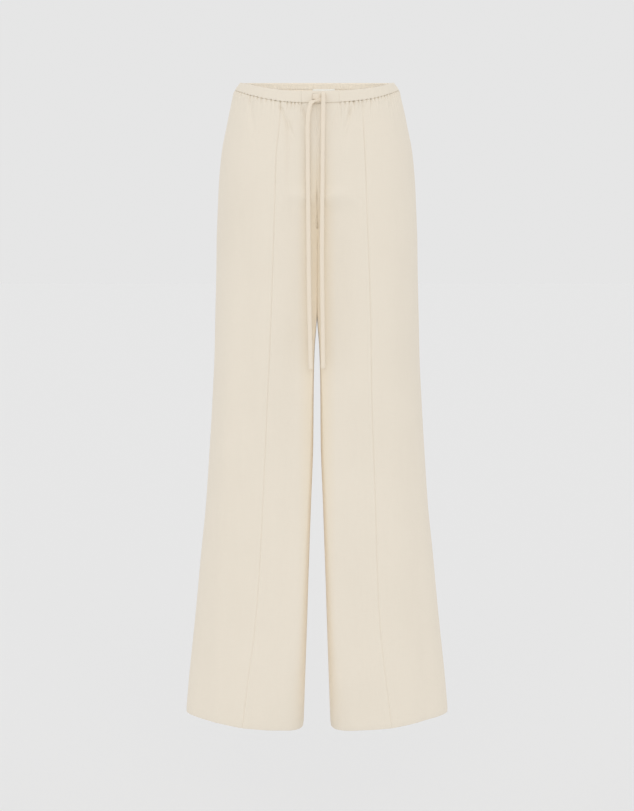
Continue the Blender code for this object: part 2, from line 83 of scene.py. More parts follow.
# Sections of the +X half at each height: where its arcs end and the ways that they take there, in degrees
ROUND = 0.55              # the roundness of an arc that is part of a circle
COLUMNS = (
    "height", "drop", "lift", "inner", "front", "front_way", "line", "line_y", "way_in", "way_out",
    "side", "back", "back_y", "back_way", "seat", "seat_way", "round",
)
LEVELS = (
    (7.5, -22, 10, 0, -98, 0, 66, -88, 17, 20, 127.7, 66, 88, 162, 98, 180, 0.55),
    (-6, -29, 6, 0, -101, 0, 67, -91, 16, 19, 137.0, 68, 91, 163, 101, 180, 0.55),
    (-20, -27, 5, 0, -102.5, 0, 67.5, -93, 15, 17, 141.6, 70, 95, 164, 103, 180, 0.55),
    (-40, -23, 4, 0, -104.5, 0, 68, -96, 12, 15, 146.6, 73, 101, 166, 107, 180, 0.55),
    (-65, -18, 3, 0, -107, 0, 69.5, -100, 9, 12, 151.8, 76, 108, 168, 112, 180, 0.55),
    (-110, -9, 1, 0, -109.5, 0, 72.5, -104, 6, 9, 160.5, 79, 117, 173, 121, 180, 0.55),
    (-165, 0, 0, 0, -109.5, -2, 74.2, -106, 4, 8, 165.7, 81, 122, 177, 126, 180, 0.55),
    (-200, 0, 0, 0, -106.5, -20, 75.2, -106, 3, 8, 167.3, 81, 122, 178, 125, 184, 0.55),
    (-225, 0, 0, 0, -98, -50, 76.1, -105.5, 2, 7, 168.2, 81, 120, 180, 118, 196, 0.55),
    (-245, 0, 0, 0, -80, -74, 76.9, -105, 1, 6, 169.0, 82, 117, 181, 103, 212, 0.55),
    (-262, 0, 0, 0, -46, -86, 77.6, -104.5, 1, 6, 169.6, 83, 114, 182, 74, 232, 0.55),
    (-280, 0, 0, 0, 10, -90, 78.3, -104, 0, 6, 169.9, 84, 111, 182, 14, 256, 0.55),
    (-330, 0, 0, 0, 8, -90, 80.0, -102, 0, 5, 171.1, 85, 105, 181, 8, 268, 0.55),
    (-385, 0, 0, 0.4, 5, -90, 82.0, -100, 0, 5, 172.6, 86, 99, 180, 5, 270, 0.55),
    (-440, 0, 0, 4.0, 3, -90, 83.6, -98, 0, 5, 173.8, 88, 95, 180, 3, 270, 0.55),
    (-500, 0, 0, 5.6, 2, -90, 85.5, -96, -1, 6, 176.6, 90, 92, 180, 2, 270, 0.55),
    (-600, 0, 0, 6.5, 0, -90, 89.6, -92, -2, 7, 182.5, 95, 87, 180, 0, 270, 0.55),
    (-700, 0, 0, 10.0, -2, -90, 94.0, -89, -3, 8, 189.8, 101, 83, 180, -2, 270, 0.55),
    (-800, 0, 0, 13.6, -4, -90, 98.2, -86, -4, 9, 199.7, 107, 80, 180, -4, 270, 0.54),
    (-900, 0, 0, 17.0, -6, -90, 104.8, -83, -6, 11, 209.0, 114, 77, 180, -6, 270, 0.50),
    (-1000, 0, 0, 20.4, -8, -90, 117.0, -80, -8, 14, 219.4, 121, 74, 180, -8, 270, 0.44),
    (-1077, 0, 0, 23.2, -12, -90, 126.2, -76, -5, 13, 226.6, 125, 72, 180, -12, 270, 0.38),
)
# How far both front seams swing to the right, at each height
SWING = (
    (7.5, 7.6), (-36, 7.4), (-110, 6.0), (-363, 6.6), (-528, 4.4), (-695, 3.6), (-863, 1.6), (-1000, 0),
    (-1077, 0),
)
SEAM_HEIGHT, RIM_HEIGHT, HEM_HEIGHT = LEVELS[1][0], LEVELS[0][0], LEVELS[-1][0]

# Folds and creases. -1 front or 1 back; x and z of both ends; half width; height, minus is a trough;
# share of the height that is left at the lower end
FOLDS = (
    # the large folds that the solids have
    (-1, -64, -30, -46, -72, 4.5, -2.6, 0.5),
    (-1, -46, -66, -41, -215, 9.0, -2.2, 0.2),
    (-1, -54, -60, -55, -190, 9.0, 1.6, 0.2),
    (-1, -72, -26, -69, -44, 3.0, -1.2, 0.0),
    (-1, -112, -16, -102, -96, 5.5, -1.6, 0.1),
    (-1, -23, -34, -15, -78, 4.0, -1.5, 0.1),
    (-1, 58, -34, 43, -92, 4.5, -2.0, 0.2),
    (-1, 76, -30, 77, -58, 3.5, -1.3, 0.0),
    (-1, 121, -16, 124, -60, 5.0, -1.4, 0.0),
    (-1, -118, -330, -112, -760, 16.0, -2.2, 0.4),
    (-1, -150, -520, -172, -1010, 15.0, 2.4, 0.6),
    (-1, -40, -470, -62, -1040, 14.0, -2.6, 0.9),
    (-1, 38, -300, 46, -620, 15.0, -2.8, 0.3),
    (-1, 118, -360, 126, -840, 17.0, 2.0, 0.4),
    (-1, 66, -640, 74, -1060, 14.0, -2.4, 0.9),
    (-1, 168, -700, 190, -1060, 14.0, -2.2, 0.9),
    (1, -100, 0, -86, -120, 6.0, -2.4, 0.2),
    (1, -44, 0, -40, -95, 6.0, -2.0, 0.1),
    (1, 52, 0, 47, -110, 6.0, -2.2, 0.2),
    (1, 106, -2, 95, -90, 6.0, -2.0, 0.1),
    (1, -60, -285, -112, -430, 14.0, -3.0, 0.2),
    (1, 58, -290, 106, -450, 14.0, -3.0, 0.2),
    (1, -88, -420, -104, -1060, 16.0, 2.6, 0.8),
    (1, 86, -410, 108, -1060, 16.0, 2.4, 0.8),
    (1, -60, -620, -68, -1060, 15.0, -2.4, 0.9),
    (1, 150, -560, 176, -1060, 16.0, -2.6, 0.9),
    (1, -160, -480, -186, -1060, 16.0, -2.2, 0.9),
    (1, 50, -700, 60, -1060, 14.0, -2.0, 0.9),
)
CREASES = (
    # sharp lines along the bottom of the large folds by the band
    (-1, -65, -31, -47, -68, 2.2, -2.2, 0.3),
    (-1, -47, -66, -43, -190, 4.0, -0.9, 0.1),
    (-1, -72, -28, -69, -44, 1.8, -1.4, 0.0),
    (-1, -113, -16, -103, -84, 2.6, -1.3, 0.1),
    (-1, -23, -34, -16, -64, 2.0, -1.6, 0.1),
    (-1, 57, -34, 45, -82, 2.4, -2.0, 0.2),
    (-1, 75, -30, 77, -56, 2.0, -1.4, 0.0),
    (-1, 121, -16, 123, -56, 2.4, -1.6, 0.0),
    # small ones that run down from the band
    (-1, -33, -33, -30, -52, 1.6, -0.7, 0.0),
    (-1, -41, -33, -37, -58, 1.8, 0.8, 0.0),
    (-1, -84, -24, -81, -58, 2.4, 0.7, 0.0),
    (-1, -92, -22, -90, -50, 2.2, -0.7, 0.0),
    (-1, -101, -20, -99, -46, 1.8, 0.6, 0.0),
    (-1, -124, -12, -121, -60, 2.6, -0.8, 0.0),
    (-1, 34, -34, 31, -52, 1.8, -0.8, 0.0),
    (-1, 44, -32, 40, -60, 2.0, 0.7, 0.0),
    (-1, 66, -30, 62, -64, 2.4, 0.9, 0.0),
    (-1, 88, -28, 87, -62, 2.4, -0.8, 0.0),
    (-1, 99, -25, 99, -54, 2.0, 0.7, 0.0),
    (-1, 110, -22, 112, -46, 1.8, -0.6, 0.0),
    (-1, 26, -62, 20, -84, 5.0, -0.9, 0.0),
    (1, -116, 0, -112, -44, 2.4, 0.9, 0.0),
    (1, -76, 0, -73, -58, 2.6, -0.9, 0.0),
    (1, -60, 0, -60, -40, 2.0, 0.8, 0.0),
    (1, -20, 0, -19, -50, 2.4, -0.9, 0.0),
    (1, 22, 0, 21, -42, 2.2, 0.8, 0.0),
    (1, 36, 0, 34, -62, 2.4, -0.8, 0.0),
    (1, 74, 0, 71, -54, 2.6, 0.9, 0.0),
    (1, 88, 0, 86, -40, 2.0, -0.8, 0.0),
)

# Leg panels: arcs of the section, columns in the middle, depth of the ditch along the first and the last edge
# Arcs: 0 centre front to front seam, 1 to the side, 2 to the fullest place behind, 3 to the centre back
PANELS = {
    "front_centre": ((0,), 72, 0.3, 0.9),
    "front_side": ((1,), 92, 0.8, 0.8),
    "back": ((2, 3), 160, 0.8, 0.8),
}
EDGE_COLUMNS = (0, 0.35, 0.8, 1.4, 2.2, 3.4, 5.0, 7.0, 9.6, 10.2)     # distances from a seam
MIDDLE_STARTS = 11.6
WALL_COLUMNS = 12          # between the inseam and the corner where the legs part
CORNER_COLUMNS = (-1.6, -0.9, -0.4, 0.1, 0.6, 1.2, 2.0)     # distances from that corner
# Rows of the panels: from, to, step
PANEL_BANDS = ((-3.5, -12, 0.85), (-12, -42, 1.6), (-42, -95, 3.2), (-95, -1030, 6.0), (-1030, -1077, 3.0))
CLOTH = 0.9
TURNED = 0.85              # a second layer, at the hem and along each seam
HEM_DEEP = 38.0
ALLOWANCE = 9.9
LEGS_APART = 0.03          # each half of the pants keeps this far from the middle
ARC_GATHERS = (10, 16, 12, 12)
GATHERS_DRAWN = 80         # more than there are on either side
GATHER_LENGTHS = ((7, 10, 14, 20, 31, 48), (0.2, 0.25, 0.22, 0.18, 0.1, 0.05))     # and how common each is
GATHER_BULGE = 1.75
GATHER_NOTCH = 2.1
CREASES_DEEPER = 1.35      # times as deep as in their table
FOOT_TURNS = (30, 62, 90, 118, 150)     # round the folded edge of the hem, in degrees

# The drawstring's two ends and the half knot
CORD_WIDTH = 7.2
CORD_THICK = 4.7
CORD_AROUND = 28
CORD_STEP = 1.3
CORD_POWER = 2.5           # 2 is an ellipse, more is squarer
RIGHT_STRAND = (
    (-6.0, -100.3, -25), (-5.4, -104.6, -25.1), (-2.0, -106.9, -25.4), (3.0, -107.1, -25.2),
    (6.2, -105.9, -23.9), (8.2, -105.7, -21.2), (9.7, -108.3, -19.7), (10.3, -110.8, -22.7),
    (10.3, -111.4, -29), (10.2, -111.3, -38.35), (10.15, -111.35, -43), (9.9, -112.4, -54),
    (9.4, -114.0, -90), (8.8, -114.8, -160), (8.2, -115.0, -230), (8.0, -115.0, -290),
    (8.6, -115.0, -350), (9.3, -115.0, -410), (9.8, -115.0, -466),
)
LEFT_STRAND = (
    (12.6, -100.3, -25), (11.8, -104.0, -26.6), (7.5, -105.3, -29.8), (2.0, -105.6, -31.9),
    (-3.0, -106.3, -32.4), (-7.2, -107.8, -33.6), (-9.7, -109.0, -35.7), (-11.0, -109.6, -38.35),
    (-12.2, -110.4, -42), (-13.6, -111.8, -49.5), (-14.8, -113.2, -66), (-15.0, -114.5, -110),
    (-14.4, -114.8, -190), (-13.7, -115.0, -270), (-12.9, -115.0, -350), (-11.4, -115.0, -415),
    (-10.3, -115.0, -467),
)
KNOT_ENDS = -38.35         # height at which each strand leaves the knot

# Stitches, in millimetres: length, thickness, and the distance from one to the next
HEM_STITCH = (3.0, 0.34, 3.2)
BAND_STITCH = (2.2, 0.36, 2.7)
LABEL_STITCH = (1.9, 0.3, 2.4)
BUTTONHOLE_STITCH = (1.35, 0.42)
BUTTONHOLE_STITCHES = 64
BUTTONHOLE_MARGIN = (0.55, 0.45)     # from the slit to the middle of the stitches, beside it and above it

# Studio: even light all round, and wide soft suns. Name, energy, width, how high, turned to the side
BACKGROUND = 0.79
SUNS = (
    ("front_sun", 0.52, 40, 14, 0),
    ("left_sun", 0.34, 70, 18, -66),
    ("right_sun", 0.30, 70, 18, 66),
    ("back_sun", 0.16, 60, 35, 180),
)
# Small lamps where cloth lights cloth: in the waist, and between the legs
# Name, power, colour, width and height, place, how far tilted up, turned to the side
FILLS = (
    ("waist_fill", 0.085, (1, 1, 1), (0.21, 0.02), (0, -0.05, -0.05), 20, 0),
    ("inseam_fill_right", 0.018, (1.0, 0.90, 0.78), (0.08, 0.6), (0, -0.045, -0.76), 0, -90),
    ("inseam_fill_left", 0.018, (1.0, 0.90, 0.78), (0.08, 0.6), (0, -0.045, -0.76), 0, 90),
)
FLOOR_Z = -1.5
FLOOR_SIZE = 90

CLOTH_COLOUR = (0.80, 0.732, 0.625)
CORD_COLOUR = (0.81, 0.722, 0.60)
LABEL_COLOUR = (0.82, 0.81, 0.76)
THREAD_COLOUR = (0.78, 0.70, 0.59)
# Painted shade: the warm tan of shaded cloth by the fork and the inner legs, multiplied into the cloth's
# colour, and where it starts and is full, in metres
PAINTED_SHADE_TINT = (1.0, 0.945, 0.85)
PAINTED_SHADE_ACROSS = (0.032, 0.0)
PAINTED_SHADE_FORWARD = (0.0, -1 / 12)
PAINTED_SHADE_DOWN = (-0.0875, -0.2125)

# A slow uneven wave: how fast each of its parts turns, and how large it is
WAVE_PACES = (1, 1.73, 2.61, 0.53)
WAVE_SIZES = (0.4, 0.3, 0.15, 0.3)


def smooth_between(knots, values, at):
    """Smooth curve through values at knots, without overshoot."""
    knots, values = np.asarray(knots, float), np.asarray(values, float)
    steps = np.diff(knots)
    slopes = np.diff(values) / steps
    tangents = np.zeros_like(values)
    tangents[0], tangents[-1] = slopes[0], slopes[-1]
    same_way = slopes[:-1] * slopes[1:] > 0
    mean = 2 * slopes[:-1] * slopes[1:] / np.where(same_way, slopes[:-1] + slopes[1:], 1)
    tangents[1:-1] = np.where(same_way, mean, 0)
    at = np.clip(at, knots[0], knots[-1])
    cell = np.clip(np.searchsorted(knots, at, side="right") - 1, 0, len(steps) - 1)
    h = steps[cell]
    t = (at - knots[cell]) / h
    return (
        (1 + 2 * t) * (1 - t) ** 2 * values[cell] + t * (1 - t) ** 2 * h * tangents[cell]
        + t * t * (3 - 2 * t) * values[cell + 1] + t * t * (t - 1) * h * tangents[cell + 1]
    )


def ease(low, high, at):
    """0 below low, 1 above high, smooth between."""
    t = np.clip((at - low) / (high - low), 0, 1)
    return t * t * (3 - 2 * t)


def wander(at, seed, period):
    """A slow uneven wave between about -1 and 1."""
    turns = np.random.default_rng(seed).uniform(0, 2 * math.pi, 4)
    at = np.asarray(at, float) * 2 * math.pi / period
    return sum(np.sin(at * pace + turn) * size for pace, turn, size in zip(WAVE_PACES, turns, WAVE_SIZES))


def unit(vectors):
    """The vectors at length 1."""
    return vectors / np.linalg.norm(vectors, axis=-1, keepdims=True)


def headings(degrees):
    """Level directions, anticlockwise from +X seen from above."""
    return np.stack((np.cos(np.radians(degrees)), np.sin(np.radians(degrees))), axis=-1)


def section(arc, t, side, height):
    """Points of the plain surface on the +X half: a row for each height, a column for each t."""
    height = np.atleast_1d(np.asarray(height, float))
    t = np.atleast_1d(np.asarray(t, float))[None, :, None]
    table = np.array(LEVELS, float)[::-1]
    at = {name: smooth_between(table[:, 0], table[:, i], height) for i, name in enumerate(COLUMNS)}
    shift = np.array(SWING, float)[::-1]
    shift = side * smooth_between(shift[:, 0], shift[:, 1], height)
    slope = np.tan(np.radians((at["way_in"] + at["way_out"]) / 2))
    line = np.stack((at["line"] + shift, at["line_y"] + shift * slope), axis=-1)
    flank = np.stack((at["side"], 0 * height), axis=-1)
    back = np.stack((at["back"], at["back_y"]), axis=-1)
    ends = (
        (np.stack((at["inner"], at["front"]), axis=-1), at["front_way"]), (line, at["way_in"]),
        (line, at["way_out"]), (flank, 90 + 0 * height),
        (flank, 90 + 0 * height), (back, at["back_way"]),
        (back, at["back_way"]), (np.stack((at["inner"], at["seat"]), axis=-1), at["seat_way"]),
    )
    (start, start_way), (end, end_way) = ends[2 * arc], ends[2 * arc + 1]
    # towards the fork the front and the back turn straight in
    if arc == 0:
        begins, full, way = FRONT_TURNS_IN
        start_way = start_way + (way - start_way) * ease(begins, full, height) * (height > INSEAM_TOP)
    if arc == 3:
        begins, full, way = BACK_TURNS_IN
        end_way = end_way + (way - end_way) * ease(begins, full, height) * (end_way < way)
    turn = np.radians(np.maximum(np.abs(end_way - start_way), 4))
    reach = at["round"] / ROUND * 4 / 3 * np.tan(turn / 4) / np.sin(turn)
    knots = np.array(FORK_CREASE, float)[::-1]
    crease = smooth_between(knots[:, 0], knots[:, 1], height)
    if arc in (0, 3):
        reach = reach + crease * (1 / (1 + np.cos(np.radians(end_way - start_way))) - reach)
    reach = reach[:, None]
    chord, leaves, arrives = end - start, headings(start_way), headings(end_way)
    first = start + leaves * reach * np.abs((chord * leaves).sum(-1, keepdims=True))
    second = end - arrives * reach * np.abs((chord * arrives).sum(-1, keepdims=True))
    a, b, c, d = (p[:, None, :] for p in (start, first, second, end))
    flat = (1 - t) ** 3 * a + 3 * t * (1 - t) ** 2 * b + 3 * t * t * (1 - t) * c + t ** 3 * d
    x, y = flat[..., 0], flat[..., 1]
    if arc in (0, 3):
        # y bends late towards the inner edge, and nothing stands past the arc's ends
        edge, far = (start, end) if arc == 0 else (end, start)
        edge, far = edge[:, 1:], far[:, 1:]
        sunk = np.clip((far - y) / (far - edge), 0, 1)
        y = y + (far - edge) * (sunk - sunk ** (1 + FORK_POWER * crease[:, None]))
        face = -1 if arc == 0 else 1
        proud = np.maximum(face * y - np.maximum(face * far, face * edge), 0)
        y = y - face * proud * np.minimum(1.5 * crease[:, None], 1)
    level = height[:, None] + 0 * x
    front, seat = at["front"][:, None], at["seat"][:, None]
    dip = np.clip(y / np.where(front < 0, front, -1), 0, None) ** FRONT_DIP * at["drop"][:, None]
    rise = at["lift"][:, None] * y / np.maximum(np.maximum(seat, y), 1)
    z = level + np.where(y < 0, np.where(front < 0, dip, 0), rise)
    z = z + HEM_LEAN * (x - HEM_LINE_X) * ease(HEM_LEAN_FROM, HEM_HEIGHT, level)
    return np.stack((x, y, z), axis=-1)


def outward(points):
    """Outward directions of a grid on the +X half: its rows go down, its columns from front to back."""
    return unit(np.cross(np.gradient(points, axis=0), np.gradient(points, axis=1)))


def fold_height(points, side, down, table, sharp=2.0):
    """How far a table's folds lift the cloth at each point."""
    x, y, z = points[..., 0] * side, points[..., 1], points[..., 2]
    total = np.zeros_like(x)
    for face, x_top, z_top, x_low, z_low, half_width, height, end in table:
        length = z_top - z_low
        along = (z_top - z) / length
        off_end = np.maximum(np.maximum(-along, along - 1), 0) * length / (0.15 * length + 16)
        centre = x_top + (x_low - x_top) * along
        share = 1 - (1 - end) * np.clip(along, 0, 1)
        off = np.abs(x - centre) / half_width
        total += (face * y >= 0) * height * share * np.exp(-off ** sharp - off_end ** 2)
    keep_off_inner = ease(3, 14, points[..., 0])
    return total * keep_off_inner * (SEAM_FOLD + (1 - SEAM_FOLD) * ease(0, 16, down))


def gather_places(count, seed):
    """Uneven gathers: which one each place is in, and how far across it."""
    placed = count + 0.13 * wander(count, seed, 5.3) + 0.08 * wander(count, seed + 1, 2.3)
    index = np.floor(placed).astype(int)
    return index, placed - index


def gather_height(count, down, flat, seed):
    """Gathers under the waistband: pulled in at the seam, each bulging out below it."""
    index, across = gather_places(count, seed)
    draw = np.random.default_rng(seed)
    deep = draw.uniform(0.75, 1.2, GATHERS_DRAWN)
    long = draw.choice(GATHER_LENGTHS[0], GATHERS_DRAWN, p=GATHER_LENGTHS[1])
    ridge = np.abs(np.sin(math.pi * across))
    valley = (1 - ridge) ** 0.9
    below = np.maximum(down, 0)
    fade = np.exp(-(below / long[index]) ** 1.4)
    starts = 1 - np.exp(-((below + 0.3) / 0.8) ** 2)
    bulge = GATHER_BULGE * ridge * (0.55 + 0.45 * deep[index]) * starts * fade
    notch = -GATHER_NOTCH * valley * deep[index] * (0.35 * fade + 0.65 * np.exp(-(below / 4.2) ** 2))
    ditch = -np.exp(-(below / 1.3) ** 2)
    return flat * (bulge + notch + 0.35 * ditch) + (1 - flat) * 0.7 * ditch


def panel_heights():
    """Heights of a panel's rows, close together under the band, at the hem and at its ledge inside."""
    rows = [PANEL_BANDS[0][0]]
    for top, low, step in PANEL_BANDS:
        count = int(math.ceil((top - low) / step))
        rows += [top + (low - top) * (i + 1) / count for i in range(count)]
    ledge = HEM_HEIGHT + HEM_DEEP
    rows = [row for row in rows if abs(row - ledge) > 1] + [ledge - 0.25, ledge + 0.25]
    return np.array(sorted(rows, reverse=True))


def new_piece(name, points, faces, uv, material, sharp=50):
    """A mesh object from points in millimetres, with the cloth's own flat map in metres."""
    data = bpy.data.meshes.new(name)
    data.from_pydata(np.asarray(points, float) * MM, [], [list(map(int, f)) for f in faces])
    corner = np.zeros(len(data.loops), int)
    data.loops.foreach_get("vertex_index", corner)
    layer = data.uv_layers.new(name="cloth")
    layer.data.foreach_set("uv", (np.asarray(uv, float) * MM)[corner].astype(np.float32).ravel())
    data.shade_smooth()
    data.set_sharp_from_angle(angle=math.radians(sharp))
    data.materials.append(material)
    piece = bpy.data.objects.new(name, data)
    bpy.context.scene.collection.objects.link(piece)
    return piece


def grid_faces(rows, columns, start=0, wrap=False):
    """Faces of a grid of points, counter-clockwise seen with rows going down and columns to the right."""
    i, j = np.meshgrid(np.arange(rows - 1), np.arange(columns if wrap else columns - 1), indexing="ij")
    i, j = i.ravel(), j.ravel()
    k = (j + 1) % columns
    here, below = i * columns, (i + 1) * columns
    return np.stack((here + j, below + j, below + k, here + k), axis=1) + start


def columns_across(width, wall, count):
    """Distances of a panel's columns from its inner edge, close by the seams and by the fork's corner."""
    edge = np.array(EDGE_COLUMNS)[None, :] + 0 * width
    corner = np.maximum(wall, MIDDLE_STARTS + 6)
    before = MIDDLE_STARTS + (corner - 2.6 - MIDDLE_STARTS) * np.linspace(0, 1, WALL_COLUMNS)
    turning = corner + np.array(CORNER_COLUMNS)
    left = count - WALL_COLUMNS - len(CORNER_COLUMNS)
    after = corner + 3.0 + (width - MIDDLE_STARTS - corner - 3.0) * np.linspace(0, 1, left)
    return np.concatenate((edge, before, turning, after, width - edge[:, ::-1]), axis=1)


def panel_grid(side, kind, heights):
    """A panel's plain surface on the +X half: points, distances across, width, gathers counted so far."""
    arcs, middle = PANELS[kind][:2]
    fine = np.linspace(0, 1, 121)
    shares = [fine if arc == arcs[0] else fine[1:] for arc in arcs]
    dense = np.concatenate([section(arc, t, side, heights) for arc, t in zip(arcs, shares)], axis=1)
    counts = [sum(ARC_GATHERS[:arc]) + ARC_GATHERS[arc] * t for arc, t in zip(arcs, shares)]
    run = np.diff(dense, axis=1)
    steps = np.linalg.norm(run, axis=2)
    reach = np.concatenate((np.zeros((len(heights), 1)), np.cumsum(steps, axis=1)), axis=1)
    width = reach[:, -1:]
    across_x = np.abs(run[..., 0]) > np.abs(run[..., 1])
    each = np.arange(len(heights))
    if kind == "back":
        corner = reach[each, across_x.shape[1] - np.argmax(across_x[:, ::-1], axis=1)]
        wall = width[:, 0] - corner
        places = width - columns_across(width, wall[:, None], middle)[:, ::-1]
    else:
        wall = reach[each, np.argmax(across_x, axis=1)] * (kind == "front_centre")
        places = columns_across(width, wall[:, None], middle)
    points = np.stack([
        np.stack([np.interp(p, r, d[:, k]) for k in range(3)], axis=-1)
        for p, r, d in zip(places, reach, dense)
    ])
    count = np.stack([np.interp(p, r, np.concatenate(counts)) for p, r in zip(places, reach)])
    return points, places, width, count


def panel_relief(side, kind, heights, points, places, width, count):
    """How far gathers, folds, seams, the hem and slow waves lift a panel's cloth at each point."""
    first_ditch, last_ditch = PANELS[kind][2:]
    from_first, from_last = places, width - places
    down = (SEAM_HEIGHT - heights)[:, None] + 0 * places
    up = (heights - HEM_HEIGHT)[:, None] + 0 * places
    plain = BAND_FRONT / 2 + side * BAND_FRONT_OFF
    flat = ease(plain - 4, plain + 2, points[..., 0]) if kind == "front_centre" else 1.0
    lift = gather_height(count, down, flat, SEED + side)
    creases = CREASES_DEEPER * fold_height(points, side, down, CREASES, 1.4)
    lift += fold_height(points, side, down, FOLDS) + creases
    for near, ditch, seed in ((from_first, first_ditch, 3), (from_last, last_ditch, 4)):
        lift -= ditch * (1 - 0.65 * ease(70, 10, down)) * np.exp(-(near / 1.15) ** 2) + 0.25 * (near < 0.1)
        lift += 0.13 * wander(heights, seed + side, 23)[:, None] * np.exp(-near / 7)
    # the seam allowances show through as a faint strip beside the seams, lower down
    strip = 1 - ease(8.6, 10.8, from_last if kind == "front_centre" else from_first)
    lift += (0.22 if kind == "front_centre" else 0.1) * strip * ease(-420, -900, heights)[:, None]
    slow = wander(points[..., 0] + 0.31 * points[..., 1], SEED, 47)
    slow = slow * wander(heights, SEED + 5, 260)[:, None]
    lift += 0.35 * slow * ease(2, 12, points[..., 0])
    return lift - 0.9 * np.exp(-(up / 5.0) ** 2)


def close_fork(kind, heights, surface):
    """Leans a panel in at the fork until it meets the other leg."""
    top, foot = FORK_TOUCHES
    fork = ease(*top, heights) * ease(*foot, heights)
    middle, half = FORK_TOP_AT
    closes = FORK_CLOSES + FORK_TOP_CLOSES * np.exp(-((heights - middle) / half) ** 2)
    closes *= FORK_BACK_CLOSES if kind == "back" else 1.0
    x, off_middle = surface[..., 0], np.abs(surface[..., 1])
    close = (closes * fork)[:, None] * ease(20, 60, off_middle) * np.exp(-(x / 7) ** 2)
    surface[..., 0] = np.where(close > 0.01, np.maximum(x - close, 0), x)


def hem_foot(surface, inside):
    """Rows that carry the cloth round the folded edge of the hem, from its outside to its inside."""
    falls = unit(surface[-1] - surface[-3])
    middle, half = (surface[-1] + inside[-1]) / 2, (surface[-1] - inside[-1]) / 2
    size = np.linalg.norm(half, axis=-1, keepdims=True)
    turns = [math.radians(degrees) for degrees in FOOT_TURNS]
    return np.stack([middle + math.cos(turn) * half + math.sin(turn) * size * falls for turn in turns])


def shell_faces(total, columns, m):
    """Faces of a closed shell: down the outside in m rows, round the foot, up the inside, and both edges."""
    top = np.arange(columns - 1)
    last = (total - 1) * columns
    faces = [*grid_faces(total, columns), *np.stack((top + last, top, top + 1, top + last + 1), axis=1)]
    for column, turned in ((0, False), (columns - 1, True)):
        outer = [i * columns + column for i in range(m)]
        inner = [(total - 1 - i) * columns + column for i in range(m)]
        for i in range(m - 1):
            quad = (outer[i], inner[i], inner[i + 1], outer[i + 1])
            faces.append(quad[::-1] if turned else quad)
        foot = [i * columns + column for i in range(m - 1, total - m + 1)]
        faces.append(foot if turned else foot[::-1])
    return faces


def panel(side, word, kind, heights, material):
    """One leg panel: a thin closed shell with gathers, folds, ditched seams and a turned hem."""
    points, places, width, count = panel_grid(side, kind, heights)
    out = outward(points)
    surface = points + out * panel_relief(side, kind, heights, points, places, width, count)[..., None]
    close_fork(kind, heights, surface)

    down = (SEAM_HEIGHT - heights)[:, None] + 0 * places
    up = (heights - HEM_HEIGHT)[:, None] + 0 * places
    near_seam = np.minimum(places, width - places) < ALLOWANCE
    thick = CLOTH + TURNED * ((up < HEM_DEEP) | near_seam)
    thick = np.where(down < 1, CLOTH, thick)
    inside = surface - out * thick[..., None]
    foot = hem_foot(surface, inside)
    rows = np.concatenate((surface, foot, inside[::-1]), axis=0)
    rows[..., 0] = (np.maximum(rows[..., 0], 0) + LEGS_APART) * side
    faces = shell_faces(*rows.shape[:2], len(heights))
    if side < 0:
        faces = [tuple(face)[::-1] for face in faces]
    flat_map = np.stack((places - width / 2, -points[..., 2]), axis=-1)
    foot_map = np.stack([flat_map[-1]] * len(foot))
    uv = np.concatenate((flat_map, foot_map, flat_map[::-1]), axis=0).reshape(-1, 2)
    piece = new_piece("cloth_" + kind + "_" + word, rows.reshape(-1, 3), faces, uv, material)
    return piece, surface * (side, 1, 1), inside * (side, 1, 1)


def along_strand(route, step):
    """Evenly spaced points of a smooth curve through the route, their directions and distances."""
    route = np.array(route, float)
    reach = np.concatenate(([0], np.cumsum(np.linalg.norm(np.diff(route, axis=0), axis=1))))
    slopes = np.gradient(route, reach, axis=0)
    at = np.linspace(0, reach[-1], int(reach[-1] / step) + 1)
    cell = np.clip(np.searchsorted(reach, at, side="right") - 1, 0, len(route) - 2)
    h = (reach[cell + 1] - reach[cell])[:, None]
    t = ((at - reach[cell])[:, None]) / h
    points = (
        (1 + 2 * t) * (1 - t) ** 2 * route[cell] + t * (1 - t) ** 2 * h * slopes[cell]
        + t * t * (3 - 2 * t) * route[cell + 1] + t * t * (t - 1) * h * slopes[cell + 1]
    )
    return points, unit(np.gradient(points, axis=0)), at


